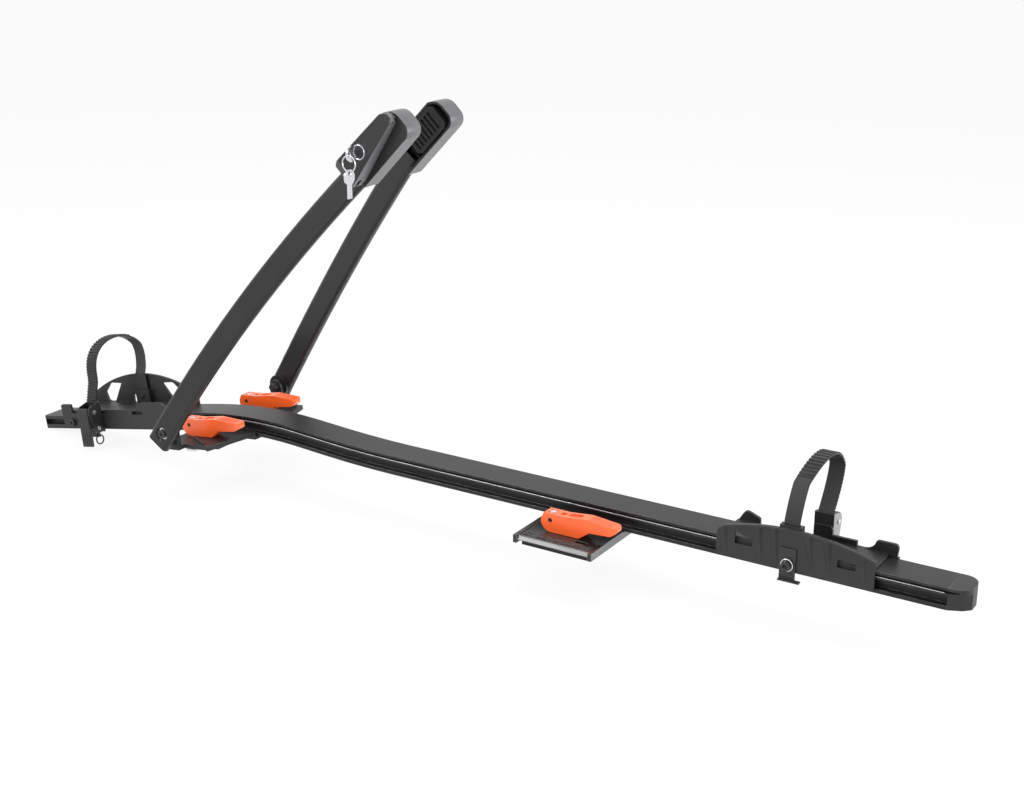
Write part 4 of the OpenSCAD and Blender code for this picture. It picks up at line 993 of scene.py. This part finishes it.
@dataclass
class RailLedgeHighlights:
    """Painted highlight: a bright zinc strip along the ledge on each flank of the rail, from its
    front end to its rear end, where the ledge catches the light.

    Attributes:
        seat: Height of the rail's underside over the front bracket's middle.
        pitch: Pitch of the front bracket, in degrees.
        bend_r: Radius of the bend over the bracket.
        front_drop: Slope of the front section, in degrees.
        front_l: Length of the strip on the front section.
        rise: Slope behind the bend, in degrees.
        link_l: Length of the straight behind the bend.
        sweep_r: Radius of the sweep into the rear section.
        rear_l: Length of the strip on the rear section.
        ledge_z: Height of the ledge over the rail's underside.
        flank: The ledge's outer edge, out from the rail's middle.
        steps: Number of parts of the bend, and of the sweep.
        section: The strip's section, as places out from that edge and up from the ledge.
    """

    seat: float = 8.0085
    pitch: float = PLATE_PITCH
    bend_r: float = 720.0
    front_drop: float = FRONT_DROP
    front_l: float = 285.0
    rise: float = 3.7
    link_l: float = 50.0
    sweep_r: float = 1850.0
    rear_l: float = 766.0
    ledge_z: float = 20.3
    flank: float = 23.4
    steps: int = 24
    section: Profile = (
        (-1.3, -0.2), (-1.3, 0.35), (-1.05, 0.6), (-0.3, 0.6), (0.0, 0.35), (0.0, -0.2))

    def line(self) -> list[tuple[Vector, Vector]]:
        """The rail's underside, in x and z.

        Returns:
            Places along it, each with the direction that is up there.
        """
        lean = math.radians(self.pitch)
        middle = Vector((math.sin(lean), -math.cos(lean))) * (self.bend_r - self.seat)

        def up(angle: float) -> Vector:
            """Direction that leans back by an angle in degrees."""
            return Vector((math.sin(math.radians(angle)), math.cos(math.radians(angle))))

        def along(angle: float) -> Vector:
            """Direction of the rail where up leans by an angle in degrees."""
            return Vector((up(angle).y, -up(angle).x))

        crest = middle + self.bend_r * up(-self.front_drop)
        spots = [(crest - self.front_l * along(-self.front_drop), up(-self.front_drop))]
        for i in range(self.steps + 1):
            t = -self.front_drop + (self.front_drop + self.rise) * i / self.steps
            spots.append((middle + self.bend_r * up(t), up(t)))
        foot = spots[-1][0] + self.link_l * along(self.rise)
        centre = foot + self.sweep_r * up(self.rise)
        for i in range(self.steps + 1):
            t = self.rise * (1 - i / self.steps)
            spots.append((centre - self.sweep_r * up(t), up(t)))
        return spots + [(spots[-1][0] + Vector((self.rear_l, 0.0)), up(0.0))]

    def build(self, finishes: Finishes) -> None:
        """Makes both painted highlight strips.

        Args:
            finishes: The materials.
        """
        for side, name in ((-1, "near"), (1, "far")):
            rings: list[Ring] = []
            for spot, up in self.line():
                ring: Ring = []
                for out, rise in self.section:
                    flat = spot + up * (self.ledge_z + rise)
                    ring.append(Vector((flat.x, side * (self.flank + out), flat.y)) * MM)
                rings.append(ring if side < 0 else ring[::-1])
            piece = loft_piece(f"{name}_rail_ledge_highlight", rings, closed=False, smooth=False)
            piece.data.materials.append(finishes.get(ZINC))
            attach(piece, "frame")
            log.info("bead on the %s flank", name)


@dataclass
class AnchorRing:
    """Bright washer rim round the rear strap's anchor bolt.

    Attributes:
        name: The piece's name.
        face_y: The face that it lies on.
        profile: Its section, as radii and depths into that face.
        steps: Number of sections round it.
    """

    name: str = "rear_anchor_ring"
    face_y: float = -31.4
    profile: Profile = ((6.5, 0.3), (6.5, -0.3), (6.9, -0.7), (7.7, -0.7), (8.2, -0.2), (8.2, 0.3))
    steps: int = 48

    def build(self, finishes: Finishes) -> None:
        """Makes the rim.

        Args:
            finishes: The materials.
        """
        low, high = (Vector(p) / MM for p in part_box("rear_anchor_bolt"))
        middle = (low + high) / 2
        rings: list[Ring] = []
        for i in range(self.steps):
            a = 2 * math.pi * i / self.steps
            rings.append([Vector((middle.x + r * math.cos(a), self.face_y + y,
                                  middle.z + r * math.sin(a))) * MM for r, y in self.profile])
        piece = loft_piece(self.name, rings, closed=True, smooth=True)
        piece.data.materials.append(finishes.get(ZINC))
        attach(piece, "rear_holder")
        log.info("anchor ring")


TRIM = (
    RatchetStrap(
        name="rear_wheel_strap", node="rear_strap", body="rear_holder", place=REAR_HOLDER,
        near=(-6.5, -20.5, 33.0), far=(14.0, BUCKLE_LEG, 20.0), top=140.0, spring=56.0, lean=18.0,
        bulge=8.0, cross=(0.3, 0.6), sway=8.0, toothed=(0.33, 1.0)),
    RatchetStrap(
        name="front_wheel_strap", node="front_strap", body="frame", place=FRONT_HOLDER,
        near=(-38.0, -BUCKLE_LEG, 4.0), far=(24.0, 20.0, 33.0), top=140.0, spring=77.0, lean=8.0,
        bulge=12.0, cross=(0.15, 0.68), sway=-9.0, toothed=(0.0, 0.62)),
    LeverGrip("front_near_lever_grip", "near_clamp_lever", FRONT_CLAMP),
    LeverGrip("front_far_lever_grip", "far_clamp_lever", FAR_CLAMP),
    LeverGrip("rear_lever_grip", "rear_clamp_lever", REAR_CLAMP),
    LockBezel(),
    LeverHood(),
    RailLedgeHighlights(),
    AnchorRing(),
)


@dataclass
class Solids:
    """The solids that stay in view: each takes its finish, and the main ones get softened edges.

    Attributes:
        softened: The main solids, with the width of their softened edges in millimetres.
        sharp: Angle from which an edge is softened, in degrees.
        segments: Number of faces across a softened edge.
        weld: Distance in metres within which points are joined before that.
    """

    softened: dict[str, float] = field(default_factory=lambda: {
        "jaw_lever": 1.2, "near_jaw_shell": 1.4, "far_jaw_shell": 1.4, "front_near_lever": 1.2,
        "front_far_lever": 1.2, "rear_lever": 1.2, "rear_wheel_holder": 0.8,
        "front_wheel_holder": 0.6, "rear_foot_plate": 0.8, "front_bracket": 0.6,
        "rear_end_cap": 0.8, "front_end_plug": 0.8})
    sharp: float = 38.0
    segments: int = 2
    weld: float = 2e-6

    def dress(self, finishes: Finishes) -> None:
        """Gives every solid its finish.

        Args:
            finishes: The materials.
        """
        for part in frame["record"]["subparts"]:
            node = part["node"]
            solid = frame["nodes"][node]
            finish = NODE_FINISH.get(node, SLOT_FINISH[part["material_slot"]])
            solid.data.materials.clear()
            solid.data.materials.append(finishes.get(finish))
            log.info("solid %s: %s", node, finish.name)

    def soften(self) -> None:
        """Rounds the sharp edges of the main solids."""
        for node, width in self.softened.items():
            solid = frame["nodes"][node]
            weld = solid.modifiers.new("joined", "WELD")
            weld.merge_threshold = self.weld
            bevel = solid.modifiers.new("softened", "BEVEL")
            bevel.width, bevel.segments = width * MM, self.segments
            bevel.limit_method, bevel.angle_limit = "ANGLE", math.radians(self.sharp)
            log.info("softened %s by %.1f mm", node, width)


# Studio, in metres


@dataclass(frozen=True)
class Softbox:
    """An area light.

    Attributes:
        name: Its name.
        place: Where it hangs.
        aim: Where it points.
        size: Its width and height.
        power: Its power in watts.
    """

    name: str
    place: Point
    aim: Point
    size: tuple[float, float]
    power: float

    def build(self) -> None:
        """Hangs the light."""
        data = bpy.data.lights.new(self.name, "AREA")
        data.shape, data.size, data.size_y, data.energy = "RECTANGLE", *self.size, self.power
        lamp = bpy.data.objects.new(self.name, data)
        lamp.location = self.place
        beam = Vector(self.aim) - Vector(self.place)
        lamp.rotation_euler = beam.to_track_quat("-Z", "Y").to_euler()
        bpy.context.scene.collection.objects.link(lamp)


@dataclass
class Studio:
    """Pale floor, soft lights and the camera at the photograph's angle.

    Attributes:
        eye: The camera's place.
        azimuth: The camera's turn about the vertical, in degrees.
        elevation: The angle by which it looks down, in degrees.
        lens: Its focal length in millimetres.
        sensor: Its sensor's width in millimetres.
        clip: The nearest and the farthest distance that it sees.
        lights: The area lights.
        floor_size: Length of the floor's sides.
        floor_x: The floor's middle along x.
        floor_gap: Distance of the floor below the carrier.
        floor_colour: The floor's colour.
        floor_shade: Factor of that colour in its darker patches.
        floor_patch: Size of these patches.
        floor_detail: Levels of finer noise in them.
        floor_rough: The floor's roughness.
        floor_specular: The floor's level of reflection.
        floor_white: Share of plain white in the floor, as the camera and reflections see it.
        fill: Strength of the surround's light.
        backdrop: Strength of the surround, as the camera and reflections see it.
    """

    eye: Point = (1.5433, -1.7003, 0.8365)
    azimuth: float = 32.3
    elevation: float = 18.9
    lens: float = 57.797
    sensor: float = 36.0
    clip: Span = (0.05, 120.0)
    lights: tuple[Softbox, ...] = (
        Softbox("key", (-1.2, -1.9, 2.0), (0.3, 0.0, 0.15), (1.2, 0.8), 52.0),
        Softbox("top", (0.5, 0.6, 2.6), (0.5, 0.0, 0.0), (2.6, 1.4), 38.0),
        Softbox("side", (2.4, 0.9, 0.6), (0.4, 0.0, 0.2), (1.6, 1.2), 38.0),
        Softbox("low", (0.7, -2.6, 0.4), (0.5, 0.0, 0.05), (2.4, 0.5), 12.0))
    floor_size: float = 60.0
    floor_x: float = 0.4
    floor_gap: float = 0.002
    floor_colour: Colour = (0.93, 0.93, 0.93)
    floor_shade: float = 0.99
    floor_patch: float = 0.6
    floor_detail: float = 2.0
    floor_rough: float = 0.9
    floor_specular: float = 0.1
    floor_white: float = 0.9
    fill: float = 0.55
    backdrop: float = 1.0

    def camera(self) -> None:
        """Sets the camera."""
        data = bpy.data.cameras.new("camera")
        data.sensor_width, data.lens = self.sensor, self.lens
        data.clip_start, data.clip_end = self.clip
        eye = bpy.data.objects.new("camera", data)
        turn = turned(self.azimuth, "Z") @ turned(QUARTER_TURN - self.elevation, "X")
        eye.matrix_world = at(*self.eye) @ turn
        bpy.context.scene.collection.objects.link(eye)
        bpy.context.scene.camera = eye

    def floor(self) -> None:
        """Lays the floor under the carrier's lowest point."""
        level, half = CAD_BOX[0][2] - self.floor_gap, self.floor_size / 2
        corners = [Vector((x * half + self.floor_x, y * half, level)) for x, y in CORNERS]
        floor = mesh_piece("floor", corners, [(0, 1, 2, 3)], False)
        graph = Graph(bpy.data.materials.new("pale_floor"))
        shader = graph.find("BSDF_PRINCIPLED")
        tone = graph.ramp(graph.noise(self.floor_patch, self.floor_detail), PATCH_SPAN, UNIT)
        darker = tuple(self.floor_shade * c for c in self.floor_colour)
        graph.link(graph.mix(tone, darker, self.floor_colour), shader.inputs["Base Color"])
        shader.inputs["Roughness"].default_value = self.floor_rough
        shader.inputs["Specular IOR Level"].default_value = self.floor_specular
        self.whiten(graph, shader)
        floor.data.materials.append(graph.owner)

    def whiten(self, graph: Graph, shader: bpy.types.Node) -> None:
        """Shows the floor nearly white to the camera and in reflections, with a soft shadow on it.

        Args:
            graph: The floor's node tree.
            shader: Its shader.
        """
        rays = graph.add("ShaderNodeLightPath").outputs
        seen = graph.combine("MAXIMUM", rays["Is Camera Ray"], rays["Is Glossy Ray"])
        seen = graph.combine("MAXIMUM", seen, rays["Is Transmission Ray"])
        share = graph.ramp(seen, UNIT, (0.0, self.floor_white))
        glow = graph.add("ShaderNodeEmission")
        blend = graph.add("ShaderNodeMixShader")
        for source, target in zip((share, shader.outputs[0], glow.outputs[0]), blend.inputs):
            graph.link(source, target)
        graph.link(blend.outputs[0], graph.find("OUTPUT_MATERIAL").inputs["Surface"])

    def world(self) -> None:
        """A pale surround that lights the carrier softly and shows white behind it."""
        graph = Graph(bpy.data.worlds.new("studio"))
        bpy.context.scene.world = graph.owner
        back = graph.find("BACKGROUND")
        back.inputs["Color"].default_value = (*WHITE, 1.0)
        rays = graph.add("ShaderNodeLightPath").outputs
        seen = graph.combine("MAXIMUM", rays["Is Camera Ray"], rays["Is Glossy Ray"])
        graph.link(graph.ramp(seen, UNIT, (self.fill, self.backdrop)), back.inputs["Strength"])

    def build(self) -> None:
        """Sets up the whole studio."""
        bpy.context.scene.view_settings.view_transform = "Standard"
        self.world()
        self.floor()
        for light in self.lights:
            light.build()
        self.camera()
        log.info("studio ready")


def main() -> None:
    """Builds the studio, dresses the solids and adds the pieces."""
    logging.basicConfig(level=logging.INFO, format="%(name)s: %(message)s")
    finishes = Finishes()
    Studio().build()
    solids = Solids()
    solids.dress(finishes)
    solids.soften()
    for trim in TRIM:
        trim.build(finishes)


if __name__ == "__main__":
    main()
